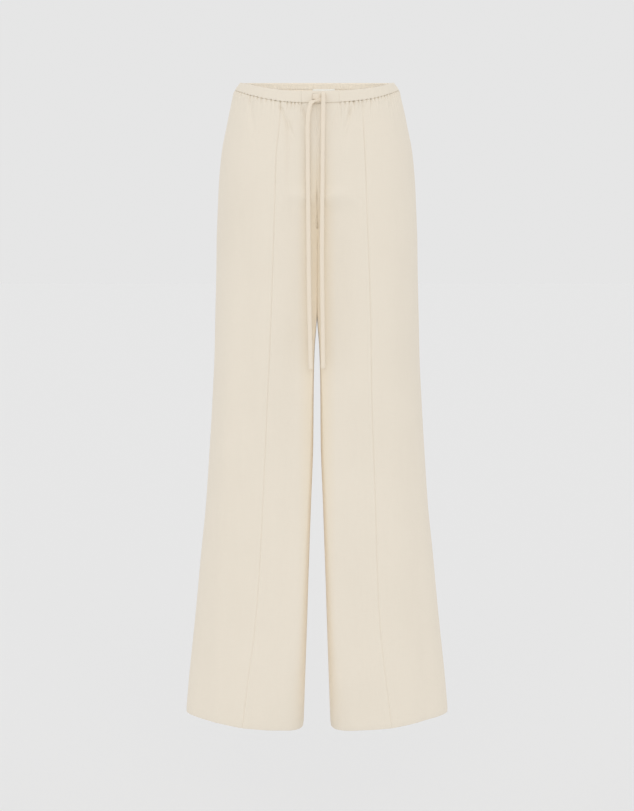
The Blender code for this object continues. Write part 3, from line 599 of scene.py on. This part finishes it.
def strand_rings(route, step, first_across, flat_to, seed):
    """Rings of a flattened turned tube that follows the route, and the way down its flat map."""
    points, ways, at = along_strand(route, step)
    across = [np.array(first_across, float)]
    for way in ways:
        kept = across[-1] - way * (across[-1] @ way)
        across.append(kept / np.linalg.norm(kept))
    across = np.array(across[1:])
    level = unit(np.array((1.0, 0, 0)) - ways * ways[:, :1])
    level *= np.sign((across * level).sum(1)[int(flat_to[1] / step) + 8])
    turned = ease(flat_to[0] + 6, flat_to[1] + 16, at)[:, None]
    across = unit(across * (1 - turned) + level * turned)
    twist = np.radians(9 * wander(at, seed, 170) * ease(45, 120, at))[:, None]
    deep = np.cross(ways, across)
    cos, sin = np.cos(twist), np.sin(twist)
    across, deep = across * cos + deep * sin, deep * cos - across * sin
    turns = np.linspace(0, 2 * math.pi, CORD_AROUND, endpoint=False)
    power = 2 / CORD_POWER
    wide = np.sign(np.cos(turns)) * np.abs(np.cos(turns)) ** power
    tall = np.sign(np.sin(turns)) * np.abs(np.sin(turns)) ** power
    pinch = 1 - 0.035 * wander(at, seed + 1, 31) - 0.02 * wander(at, seed + 2, 9)
    ends = 1 - 0.16 * np.exp(-((at[-1] - at) / 2.0) ** 2)
    flattened = 1 - ease(*flat_to, at)
    half_wide = CORD_WIDTH / 2 * pinch * ends * (1 + 0.22 * flattened)
    thinner = 1 - 0.25 * flattened - 0.12 * (1 - ease(1.0, 5.5, at))
    half_tall = CORD_THICK / 2 * (2 - pinch) * ends * thinner
    ruck = 0.07 * wander(at, seed + 3, 4.7)[:, None] * np.cos(3 * turns + 1)[None, :]
    ruck += 0.10 * np.exp(-((turns[None, :] - 4.45) / 0.16) ** 2)
    rings = (
        points[:, None, :]
        + across[:, None, :] * ((half_wide[:, None] + ruck) * wide[None, :])[..., None]
        + deep[:, None, :] * ((half_tall[:, None] + ruck) * tall[None, :])[..., None]
    )
    sides = np.linalg.norm(np.diff(rings, axis=1), axis=2).mean(0)
    around = np.concatenate(([0], sides.cumsum()))
    uv = np.stack(np.broadcast_arrays(around[None, :], at[:, None]), axis=-1)
    return points, rings, uv


def tube_parts(rings, uv, start=0):
    """Points, faces and map of a closed tube, its ends drawn in a little like turned cloth."""
    points, maps = [], []
    for end, order in ((0, (0.0, 0.55, 0.86)), (-1, (0.86, 0.55, 0.0))):
        middle = rings[end].mean(0)
        way = unit(rings[end].mean(0) - rings[1 if end == 0 else -2].mean(0))
        for share in order:
            bulge = 0.45 * math.sqrt(max(0, 1 - share * share))
            points.append(middle + (rings[end] - middle) * share + way * bulge * (1 - share))
            maps.append(uv[end])
        if end == 0:
            points.extend(rings)
            maps.extend(uv)
    grid = np.array(points)
    faces = grid_faces(len(grid), grid.shape[1], start, wrap=True)
    return grid.reshape(-1, 3), faces, np.array(maps).reshape(-1, 2)


def make_camera():
    """A camera that sees the pants at the photograph's angle."""
    camera = bpy.data.objects.new("camera", bpy.data.cameras.new("camera"))
    camera.location = CAMERA_PLACE
    camera.rotation_euler = (math.radians(90 - CAMERA_TILT), 0, 0)
    camera.data.lens = CAMERA_LENS
    camera.data.sensor_width = 36
    camera.data.clip_start = 0.05
    bpy.context.scene.collection.objects.link(camera)
    bpy.context.scene.camera = camera


def closed_mesh(piece):
    """Merges the points that coincide and turns every face outwards."""
    mesh = bmesh.new()
    mesh.from_mesh(piece.data)
    bmesh.ops.remove_doubles(mesh, verts=mesh.verts, dist=1e-6)
    bmesh.ops.recalc_face_normals(mesh, faces=mesh.faces)
    mesh.to_mesh(piece.data)
    mesh.free()
    return piece


def make_drawstring(material):
    """Both strands, each cut into its part of the knot and its free end."""
    # name, route, where it stops being flattened, seed
    plans = (
        ("right", RIGHT_STRAND, (12, 22), 21),
        ("left", LEFT_STRAND, (4, 14), 31),
    )
    tied, free, start = [], [], 0
    for word, route, flat_to, seed in plans:
        points, rings, uv = strand_rings(route, CORD_STEP, (0, 0, -1), flat_to, seed)
        below = np.nonzero((points[:, 2] < KNOT_ENDS) & (np.arange(len(points)) > 12))[0][0]
        tied.append(tube_parts(rings[:below + 1], uv[:below + 1], start))
        start += len(tied[-1][0])
        free.append((word, points[below:], *tube_parts(rings[below:], uv[below:])))
    knot = closed_mesh(new_piece("tied_knot", *(np.concatenate(part) for part in zip(*tied)), material))
    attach(knot, "root")
    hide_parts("knot")
    for word, path, points, faces, uv in free:
        end = closed_mesh(new_piece("cord_" + word, points, faces, uv, material))
        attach(end, "root")
        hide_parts("drawstring_" + word)
        path[0] * MM
        path * MM
        [knot] if word == "right" else []


# Waistband section: how far out of the plain surface, and how far up from the seam as a share of the band
BAND_FACE = (
    (-0.9, 0.07), (-0.1, 0.01), (0.55, 0.012), (0.92, 0.06), (1.08, 0.16), (1.16, 0.30), (1.18, 0.45),
    (1.12, 0.60), (1.02, 0.74),
)
BAND_INSIDE = (
    (-2.3, 0.80), (-2.38, 0.66), (-2.42, 0.54), (-2.40, 0.43), (-2.1, 0.385), (-1.45, 0.36), (-1.35, 0.33),
    (-2.0, 0.305), (-2.2, 0.24), (-2.25, 0.14), (-2.1, 0.06), (-1.7, 0.012), (-1.1, 0.01),
)
SEWN_LOOP = 6              # which of the inside's places is the sewn line
RIM_TURNS = (0, 22, 45, 68, 90, 112, 135, 158, 180)     # round the fold at the band's top, in degrees


def band_stations(side, start, end, step):
    """Evenly spaced places along the waist, from start off the front's middle to end or the centre back."""
    middle = 0.5 * (SEAM_HEIGHT + RIM_HEIGHT)
    t = np.linspace(0, 1, 241)
    line = np.concatenate([section(arc, t, side, middle)[0] for arc in range(4)])
    place = np.concatenate([arc + t for arc in range(4)])
    reach = np.concatenate(([0], np.cumsum(np.linalg.norm(np.diff(line, axis=0), axis=1))))
    low = np.interp(start, line[:241, 0], reach[:241])
    high = reach[-1] if end is None else np.interp(end, line[:241, 0], reach[:241])
    at = np.linspace(low, high, max(2, int(round((high - low) / step)) + 1))
    place = np.interp(at, reach, place)
    return np.clip(place, 0, 4 - 1e-9), at


def band_ring(side, places, at, ripple, pinch):
    """Points of the band's section at each place, on its own side; ripple is a depth, pinch pulls it in."""
    arcs = np.floor(places).astype(int)
    before = np.array([sum(ARC_GATHERS[:arc]) for arc in arcs])
    count = before + np.array(ARC_GATHERS)[arcs] * (places - arcs)
    index, across = gather_places(count, SEED + side)
    deep = np.random.default_rng(SEED + side + 9).uniform(0.5, 1.3, GATHERS_DRAWN)[index]
    groove = -np.abs(np.cos(math.pi * across)) ** 5 * deep
    swell = wander(at, SEED + 40 + side, 11)
    hang = ripple * (np.abs(np.sin(math.pi * across)) - 0.5) * (0.7 + 0.3 * deep)

    def on_surface(share):
        height = SEAM_HEIGHT + 0.15 + share * (RIM_HEIGHT - BAND / 2 - SEAM_HEIGHT - 0.15)
        heights = (height + 0.5, height, height - 0.5)
        grid = np.zeros((3, len(places), 3))
        for arc in range(4):
            here = arcs == arc
            if here.any():
                grid[:, here] = section(arc, places[here] - arc, side, heights)
        up = unit(grid[0] - grid[2])
        return grid[1] - up * (1.15 * hang * max(0, 1 - share / 0.25))[:, None], outward(grid)[1], up

    loops = []
    for out_by, share in BAND_FACE:
        point, out, up = on_surface(share)
        wave = ripple * (0.30 * groove * (1 - 0.75 * share) + 0.10 * swell)
        loops.append(point + out * (out_by + wave - pinch)[:, None])
    top, out, up = on_surface(1.0)
    centre = top + out * (BAND_PROUD - BAND / 2)
    radius = BAND / 2 - pinch * 0.6
    for degrees in RIM_TURNS:
        turn = math.radians(degrees)
        wave = ripple * (0.16 * groove + 0.08 * swell) * (0.6 + 0.4 * abs(math.cos(turn)))
        loops.append(centre + (radius + wave)[:, None] * (math.cos(turn) * out + math.sin(turn) * up))
    for out_by, share in BAND_INSIDE:
        point, out, up = on_surface(share)
        wave = ripple * (1.05 * groove * (1 - 0.3 * share) + 0.12 * swell)
        loops.append(point + out * (out_by - wave + pinch)[:, None])
    return np.stack(loops, axis=1) * (side, 1, 1)


def make_band(name, rings, at, material):
    """A closed loft through the sections of the band."""
    count, around = rings.shape[:2]
    faces = [*grid_faces(count, around, wrap=True)]
    faces.append(tuple(range(around)))
    faces.append(tuple(range((count - 1) * around, count * around))[::-1])
    girth = np.concatenate(([0], np.linalg.norm(np.diff(rings, axis=1), axis=2).mean(0).cumsum()))
    uv = np.stack(np.broadcast_arrays(at[:, None], girth[None, :]), axis=-1).reshape(-1, 2)
    return closed_mesh(new_piece(name, rings.reshape(-1, 3), faces, uv, material, sharp=60))


def make_waistband(material):
    """The elastic stretch, the flat one with its buttonholes, and the sewn line inside the elastic."""
    half = BAND_FRONT / 2
    halves = []
    for side in (1, -1):
        places, at = band_stations(side, half + side * BAND_FRONT_OFF + 0.05, None, 1.05)
        from_end = at - at[0]
        calm = 0.35 + 0.65 * ease(2, 40, from_end)
        pinch = 0.55 * np.exp(-(from_end / 0.9) ** 2)
        rings = band_ring(side, places, at, calm, pinch)
        halves.append((rings, at))
    (right, right_at), (left, left_at) = halves
    rings = np.concatenate((right, left[-2::-1]))
    at = np.concatenate((right_at, 2 * right_at[-1] - left_at[-2::-1]))
    sewn = rings[:, len(BAND_FACE) + len(RIM_TURNS) + SEWN_LOOP]
    elastic = make_band("band_elastic", rings, at, material)

    parts = []
    for side in (1, -1):
        places, at = band_stations(side, 0.0, half + side * BAND_FRONT_OFF - 0.05, 0.85)
        pinch = 0.55 * np.exp(-((at[-1] - at) / 0.9) ** 2)
        parts.append((band_ring(side, places, at, 0.0 * at + 0.12, pinch), at))
    (right, right_at), (left, left_at) = parts
    rings = np.concatenate((left[:0:-1], right))
    front = make_band("band_front", rings, np.concatenate((-left_at[:0:-1], right_at)), material)
    face_y = section(0, 0, 1, -2.0)[0, 0, 1] - BAND_PROUD
    for x in BUTTONHOLE_X:
        upright = (math.pi / 2, 0, 0)
        bpy.ops.mesh.primitive_cylinder_add(vertices=36, radius=0.5, depth=1, rotation=upright)
        cutter = bpy.context.object
        cutter.location = Vector((x, face_y, BUTTONHOLE_Z)) * MM
        cutter.scale = (BUTTONHOLE[0] * MM, BUTTONHOLE[1] * MM, 4.0 * MM)
        bpy.context.view_layer.update()
        cut = front.modifiers.new("buttonhole", "BOOLEAN")
        cut.object, cut.solver = cutter, "EXACT"
        shape = bpy.data.meshes.new_from_object(front.evaluated_get(bpy.context.evaluated_depsgraph_get()))
        front.modifiers.clear()
        front.data = shape
        bpy.data.objects.remove(cutter)
    return elastic, front, sewn


def make_label(material):
    """The bare tape, with its edges turned in, and the grid of its face."""
    width, height = LABEL
    top = SEAM_HEIGHT + LABEL_ABOVE_SEAM
    x = np.linspace(LABEL_X - width / 2, LABEL_X + width / 2, 40)
    between = np.linspace(1.6, height - 1.6, 36)
    down = np.concatenate(([0, 0.4, 0.9], between, [height - 0.9, height - 0.4, height]))
    rows = []
    t = np.linspace(0, 1, 400)
    for d in down:
        grid = section(3, t, 1, (top - d + 0.5, top - d, top - d - 0.5))
        normal = outward(grid)[1]
        order = np.argsort(grid[1, :, 0])
        line = grid[1][order]
        y = np.interp(np.abs(x), line[:, 0], line[:, 1])
        z = np.interp(np.abs(x), line[:, 0], line[:, 2])
        n = [np.interp(np.abs(x), line[:, 0], normal[order][:, k]) for k in range(3)]
        n = np.stack(n, axis=-1)
        n[:, 0] *= np.sign(x)
        rows.append((np.stack((x, y, z), axis=-1), unit(n)))
    base = np.stack([row[0] for row in rows])
    out = np.stack([row[1] for row in rows])
    across = np.abs(x - LABEL_X) / (width / 2)
    curl = 1.3 * (across ** 4)[None, :] * ease(6, height, down)[:, None] + 0.018 * down[:, None]
    curl = curl + 0.25 * wander(x, 77, 34)[None, :] * ease(4, 30, down)[:, None]
    edge = np.minimum(np.minimum(down, height - down)[:, None], (width / 2 * (1 - across))[None, :])
    half = 0.24 + 0.10 * (edge < 3.4) * (down > 4)[:, None]
    middle = base - out * (BAND - BAND_PROUD + 0.45 + curl)[..., None]
    round_off = np.clip(edge / 0.5, 0, 1) ** 0.5
    half = (half * round_off)[..., None]
    face, rear = middle - out * half, middle + out * half
    m, n = base.shape[:2]
    points = np.concatenate((face.reshape(-1, 3), rear.reshape(-1, 3)))
    faces = [*grid_faces(m, n), *(grid_faces(m, n, m * n)[:, ::-1])]
    border = [i for i in range(n)] + [i * n + n - 1 for i in range(1, m)]
    border += [(m - 1) * n + i for i in range(n - 2, -1, -1)] + [i * n for i in range(m - 2, 0, -1)]
    for a, b in zip(border, border[1:] + border[:1]):
        faces.append((a, b, b + m * n, a + m * n))
    uv = np.stack(np.broadcast_arrays(x[None, :], -down[:, None]), axis=-1).reshape(-1, 2)
    return closed_mesh(new_piece("tape_label", points, faces, np.concatenate((uv, uv)), material)), face


class Wire:
    """A socket of a material being made; arithmetic on it adds Math nodes."""

    def __init__(self, tree, socket=None):
        self.tree, self.socket = tree, socket

    def node(self, kind, settings, sockets, output=0):
        made = self.tree.nodes.new(kind)
        for name, value in settings.items():
            setattr(made, name, value)
        for name, value in sockets.items():
            if isinstance(value, Wire):
                self.tree.links.new(value.socket, made.inputs[name])
            else:
                made.inputs[name].default_value = value
        return Wire(self.tree, made.outputs[output])

    def maths(self, operation, *values):
        return self.node("ShaderNodeMath", {"operation": operation}, dict(enumerate(values)))

    def __add__(self, other):
        return self.maths("ADD", self, other)

    def __radd__(self, other):
        return self.maths("ADD", other, self)

    def __sub__(self, other):
        return self.maths("SUBTRACT", self, other)

    def __rsub__(self, other):
        return self.maths("SUBTRACT", other, self)

    def __mul__(self, other):
        return self.maths("MULTIPLY", self, other)

    def __rmul__(self, other):
        return self.maths("MULTIPLY", other, self)

    def cosine(self):
        return self.maths("COSINE", self)

    def rise(self, low, high):
        """0 at low, 1 at high, straight between and level beyond."""
        share = (self - low) * (1 / (high - low))
        return self.maths("MINIMUM", self.maths("MAXIMUM", share, 0.0), 1.0)

    def part(self, name):
        return self.node("ShaderNodeSeparateXYZ", {}, {0: self}, name)

    def scaled(self, x, y, z):
        return self.node("ShaderNodeVectorMath", {"operation": "MULTIPLY"}, {0: self, 1: (x, y, z)})

    def noise(self, scale, detail, roughness=0.5):
        return self.node(
            "ShaderNodeTexNoise", {"noise_dimensions": "3D"},
            {"Vector": self, "Scale": scale, "Detail": detail, "Roughness": roughness}, "Fac",
        )

    def into(self, shader, name):
        self.tree.links.new(self.socket, shader.inputs[name])


def blend_colours(share, low, high, how="MIX"):
    """A colour between low and high, or low with high laid over it in another way."""
    low, high = (colour if isinstance(colour, Wire) else (*colour, 1) for colour in (low, high))
    settings = {"data_type": "RGBA", "blend_type": how}
    return share.node("ShaderNodeMix", settings, {0: share, 6: low, 7: high}, 2)


def tinted(colour, share):
    """The colour with each channel multiplied by its share."""
    return tuple(c * s for c, s in zip(colour, share))


def woven_cloth(name, colour, pitch, relief, sheen, roughness, satin=0.0, painted_fork_shade=False):
    """Fine crepe: two sets of threads, uneven, with soft slubs along both."""
    material = bpy.data.materials.new(name)
    material.use_nodes = True
    tree = material.node_tree
    shader = tree.nodes["Principled BSDF"]
    shader.inputs["Sheen Weight"].default_value = sheen
    shader.inputs["Sheen Roughness"].default_value = 0.45
    shader.inputs["Sheen Tint"].default_value = (1.0, 0.96, 0.9, 1)
    shader.inputs["Specular IOR Level"].default_value = 0.22
    begin = Wire(tree)
    place = begin.node("ShaderNodeUVMap", {"uv_map": "cloth"}, {}, "UV")
    crimp = place.noise(700, 2)
    u = place.part("X") * (1000 / pitch) + (crimp - 0.5) * 1.1
    v = place.part("Y") * (1000 / pitch) + (crimp - 0.5) * 0.9
    turn = 2 * math.pi
    warp = (u * turn).cosine()
    weft = (v * turn).cosine()
    threads = (warp - weft * (1 - satin)) * 0.25 + 0.5
    weft_slub = place.scaled(45, 1250, 1).noise(1.0, 2)
    warp_slub = place.scaled(1100, 30, 1).noise(1.0, 2)
    slub = weft_slub * 0.6 + warp_slub * 0.4
    whole = begin.node("ShaderNodeTexCoord", {}, {}, "Object")
    cloud = whole.noise(9.0, 2)
    grain = threads * 0.16 + slub * 0.5 + cloud * 0.34
    shade = blend_colours(grain, tinted(colour, (0.935, 0.93, 0.92)), tinted(colour, (1.055, 1.06, 1.07)))
    # painted shade: a warm tan multiplied into the colour close to the middle, in front and low, where the
    # fork and the inner legs are shaded
    if painted_fork_shade:
        near = begin.maths("ABSOLUTE", whole.part("X")).rise(*PAINTED_SHADE_ACROSS)
        in_front, low = whole.part("Y").rise(*PAINTED_SHADE_FORWARD), whole.part("Z").rise(*PAINTED_SHADE_DOWN)
        shade = blend_colours(near * in_front * low, shade, PAINTED_SHADE_TINT, "MULTIPLY")
    shade.into(shader, "Base Color")
    (slub * 0.16 + (roughness - 0.08)).into(shader, "Roughness")
    height = threads * 0.55 + slub * 0.9
    bump = height.node(
        "ShaderNodeBump", {}, {"Strength": 0.55, "Distance": relief * MM, "Height": height},
    )
    bump.into(shader, "Normal")
    return material


def thread_material(name, colour):
    """Sewing thread, flecked by its plies and a little glossier than the cloth."""
    material = bpy.data.materials.new(name)
    material.use_nodes = True
    tree = material.node_tree
    shader = tree.nodes["Principled BSDF"]
    shader.inputs["Specular IOR Level"].default_value = 0.35
    shader.inputs["Sheen Weight"].default_value = 0.15
    place = Wire(tree).node("ShaderNodeTexCoord", {}, {}, "Object")
    plies = place.noise(2600, 2)
    shade = blend_colours(plies, tinted(colour, (0.9, 0.9, 0.88)), tinted(colour, (1.08, 1.08, 1.08)))
    shade.into(shader, "Base Color")
    (plies * 0.2 + 0.5).into(shader, "Roughness")
    bump = plies.node("ShaderNodeBump", {}, {"Strength": 0.4, "Distance": 0.05 * MM, "Height": plies})
    bump.into(shader, "Normal")
    return material


def stitch_tree(material):
    """Geometry nodes that put one stitch on each point of a mesh, laid along its own thread_way."""
    tree = bpy.data.node_groups.new("stitches", "GeometryNodeTree")
    face = tree.interface
    face.new_socket("Geometry", in_out="INPUT", socket_type="NodeSocketGeometry")
    for name, value in (("Length", 0.002), ("Thickness", 0.0004), ("Unevenness", 0.12)):
        face.new_socket(name, in_out="INPUT", socket_type="NodeSocketFloat").default_value = value
    face.new_socket("Seed", in_out="INPUT", socket_type="NodeSocketInt").default_value = SEED
    face.new_socket("Geometry", in_out="OUTPUT", socket_type="NodeSocketGeometry")

    def node(kind, settings=(), **links):
        made = tree.nodes.new(kind)
        for name, value in dict(settings).items():
            setattr(made, name, value)
        for name, value in links.items():
            target = made.inputs[name.replace("_", " ")]
            if isinstance(value, bpy.types.NodeSocket):
                tree.links.new(value, target)
            else:
                target.default_value = value
        return made

    inputs = node("NodeGroupInput").outputs
    way = node("GeometryNodeInputNamedAttribute", {"data_type": "FLOAT_VECTOR"}, Name="thread_way")
    turned = node("FunctionNodeAlignRotationToVector", {"axis": "Z"}, Vector=way.outputs["Attribute"])
    chance = node("FunctionNodeRandomValue", {"data_type": "FLOAT"}, Seed=inputs["Seed"])
    spread = node("ShaderNodeMath", {"operation": "MULTIPLY_ADD"})
    tree.links.new(chance.outputs[1], spread.inputs[0])
    tree.links.new(inputs["Unevenness"], spread.inputs[1])
    spread.inputs[2].default_value = 0.94
    longer = node("ShaderNodeMath", {"operation": "MULTIPLY"})
    tree.links.new(inputs["Length"], longer.inputs[0])
    tree.links.new(spread.outputs[0], longer.inputs[1])
    size = node("ShaderNodeCombineXYZ", X=inputs["Thickness"], Y=inputs["Thickness"], Z=longer.outputs[0])
    bead = node("GeometryNodeMeshUVSphere", Segments=8, Rings=6, Radius=0.5)
    points = node("GeometryNodeMeshToPoints", Mesh=inputs["Geometry"])
    laid = node(
        "GeometryNodeInstanceOnPoints", Points=points.outputs[0], Instance=bead.outputs["Mesh"],
        Rotation=turned.outputs[0], Scale=size.outputs[0],
    )
    real = node("GeometryNodeRealizeInstances", Geometry=laid.outputs[0])
    smooth = node("GeometryNodeSetShadeSmooth", Geometry=real.outputs[0])
    coated = node("GeometryNodeSetMaterial", Geometry=smooth.outputs[0], Material=material)
    outputs = node("NodeGroupOutput")
    tree.links.new(coated.outputs[0], outputs.inputs[0])
    return tree


def sew(name, tree, points, ways, length, thickness):
    """Stitches at points, in millimetres, each lying along its way, as one plain mesh."""
    data = bpy.data.meshes.new(name + "_places")
    data.from_pydata(np.asarray(points, float) * MM, [], [])
    thread_way = data.attributes.new("thread_way", "FLOAT_VECTOR", "POINT")
    thread_way.data.foreach_set("vector", unit(np.asarray(ways, float)).astype(np.float32).ravel())
    places = bpy.data.objects.new(name + "_places", data)
    bpy.context.scene.collection.objects.link(places)
    modifier = places.modifiers.new("stitches", "NODES")
    modifier.node_group = tree
    sockets = {item.name: item.identifier for item in tree.interface.items_tree if item.in_out == "INPUT"}
    modifier[sockets["Length"]] = length * MM
    modifier[sockets["Thickness"]] = thickness * MM
    bpy.context.view_layer.update()
    shape = bpy.data.meshes.new_from_object(places.evaluated_get(bpy.context.evaluated_depsgraph_get()))
    bpy.data.objects.remove(places)
    shape.name = name
    piece = bpy.data.objects.new(name, shape)
    bpy.context.scene.collection.objects.link(piece)
    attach(piece, "root")


def along_line(line, step):
    """Evenly spaced points of a line of points, and its directions there."""
    line = np.asarray(line, float)
    reach = np.concatenate(([0], np.linalg.norm(np.diff(line, axis=0), axis=1).cumsum()))
    at = np.arange(0.5 * step, reach[-1], step)
    ways = np.gradient(line, reach, axis=0)
    return (
        np.stack([np.interp(at, reach, line[:, k]) for k in range(3)], axis=-1),
        np.stack([np.interp(at, reach, ways[:, k]) for k in range(3)], axis=-1),
    )


def sew_buttonholes(tree, front):
    """Close satin stitches round each buttonhole, laid on the face of the band."""
    half_wide, half_high = (size / 2 + margin for size, margin in zip(BUTTONHOLE, BUTTONHOLE_MARGIN))
    points, ways = [], []
    for x in BUTTONHOLE_X:
        for turn in np.linspace(0, 2 * math.pi, BUTTONHOLE_STITCHES, endpoint=False):
            way = np.array((math.cos(turn), 0, math.sin(turn)))
            place = np.array((x, -200.0, BUTTONHOLE_Z)) + way * (half_wide, 0, half_high)
            found, hit, _, _ = front.ray_cast(Vector(place) * MM, Vector((0, 1, 0)))
            if found and hit.y < -0.09:
                points.append(np.array(hit) / MM - (0, 0.05, 0))
                ways.append(way * (1, 0, 0.35) + (0.12, 0, 0))
    sew("buttonhole_thread", tree, points, ways, *BUTTONHOLE_STITCH)


def make_lights():
    """Even light all round, wide soft suns, and the small lamps where cloth lights cloth."""
    world = bpy.data.worlds.new("studio")
    bpy.context.scene.world = world
    world.use_nodes = True
    back = world.node_tree.nodes["Background"]
    back.inputs["Color"].default_value = (1, 1, 1, 1)
    back.inputs["Strength"].default_value = BACKGROUND
    for name, energy, wide, raised, turned in SUNS:
        sun = bpy.data.objects.new(name, bpy.data.lights.new(name, "SUN"))
        sun.data.energy = energy
        sun.data.angle = math.radians(wide)
        sun.rotation_euler = (math.radians(90 - raised), 0, math.radians(turned))
        bpy.context.scene.collection.objects.link(sun)
    for name, power, colour, (wide, high), place, tilted, turned in FILLS:
        fill = bpy.data.objects.new(name, bpy.data.lights.new(name, "AREA"))
        fill.data.energy, fill.data.color, fill.data.shape = power, colour, "RECTANGLE"
        fill.data.size, fill.data.size_y = wide, high
        fill.location = place
        fill.rotation_euler = (math.radians(90 + tilted), 0, math.radians(turned))
        fill.visible_camera = False
        bpy.context.scene.collection.objects.link(fill)


def make_floor():
    """A pale floor, as bright under the lights as the background."""
    place = (0, 0, FLOOR_Z)
    bpy.ops.mesh.primitive_circle_add(vertices=96, radius=FLOOR_SIZE, fill_type="NGON", location=place)
    floor = bpy.context.object
    floor.name = "floor"
    direct = sum(energy * math.sin(math.radians(raised)) for _, energy, _, raised, _ in SUNS)
    grey = BACKGROUND / (BACKGROUND + direct / math.pi)
    material = bpy.data.materials.new("floor")
    material.use_nodes = True
    shader = material.node_tree.nodes["Principled BSDF"]
    shader.inputs["Base Color"].default_value = (grey, grey, grey, 1)
    shader.inputs["Roughness"].default_value = 1.0
    shader.inputs["Specular IOR Level"].default_value = 0.0
    floor.data.materials.append(material)


def main():
    """Makes every piece around the solids, then the studio."""
    make_camera()
    # the cloth carries the painted warm shade by the fork and the inner legs
    cloth = woven_cloth("cream_crepe", CLOTH_COLOUR, 0.46, 0.07, 0.22, 0.82, painted_fork_shade=True)
    cord_cloth = woven_cloth("cream_crepe_cord", CORD_COLOUR, 0.42, 0.07, 0.25, 0.8)
    tape = woven_cloth("ivory_tape", LABEL_COLOUR, 0.34, 0.04, 0.1, 0.55, satin=0.7)
    stitches = stitch_tree(thread_material("cream_thread", THREAD_COLOUR))
    make_drawstring(cord_cloth)

    heights = panel_heights()
    ledge = np.nonzero(heights > HEM_HEIGHT + HEM_DEEP)[0][-1]
    hem_points, hem_ways = [], []
    for side, word in ((-1, "left"), (1, "right")):
        for kind in PANELS:
            piece, surface, inside = panel(side, word, kind, heights, cloth)
            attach(piece, "root")
            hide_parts(kind + "_" + word)
            points, ways = along_line(inside[ledge], HEM_STITCH[2])
            hem_points.append(points)
            hem_ways.append(ways + (0, 0, 0.6))
    sew("hem_thread", stitches, np.concatenate(hem_points), np.concatenate(hem_ways), *HEM_STITCH[:2])

    elastic, front, seam = make_waistband(cloth)
    for piece, node in ((elastic, "waistband_elastic"), (front, "waistband_front")):
        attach(piece, "root")
        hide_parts(node)
        "gathered" if node == "waistband_elastic" else "folded"
    sew("band_thread", stitches, *along_line(seam, BAND_STITCH[2]), *BAND_STITCH[:2])
    sew_buttonholes(stitches, front)

    label, label_face = make_label(tape)
    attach(label, "root")
    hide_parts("label")
    sew("label_thread", stitches, *along_line(label_face[3], LABEL_STITCH[2]), *LABEL_STITCH[:2])

    make_floor()
    make_lights()
    bpy.context.scene.view_settings.view_transform = "Standard"


main()
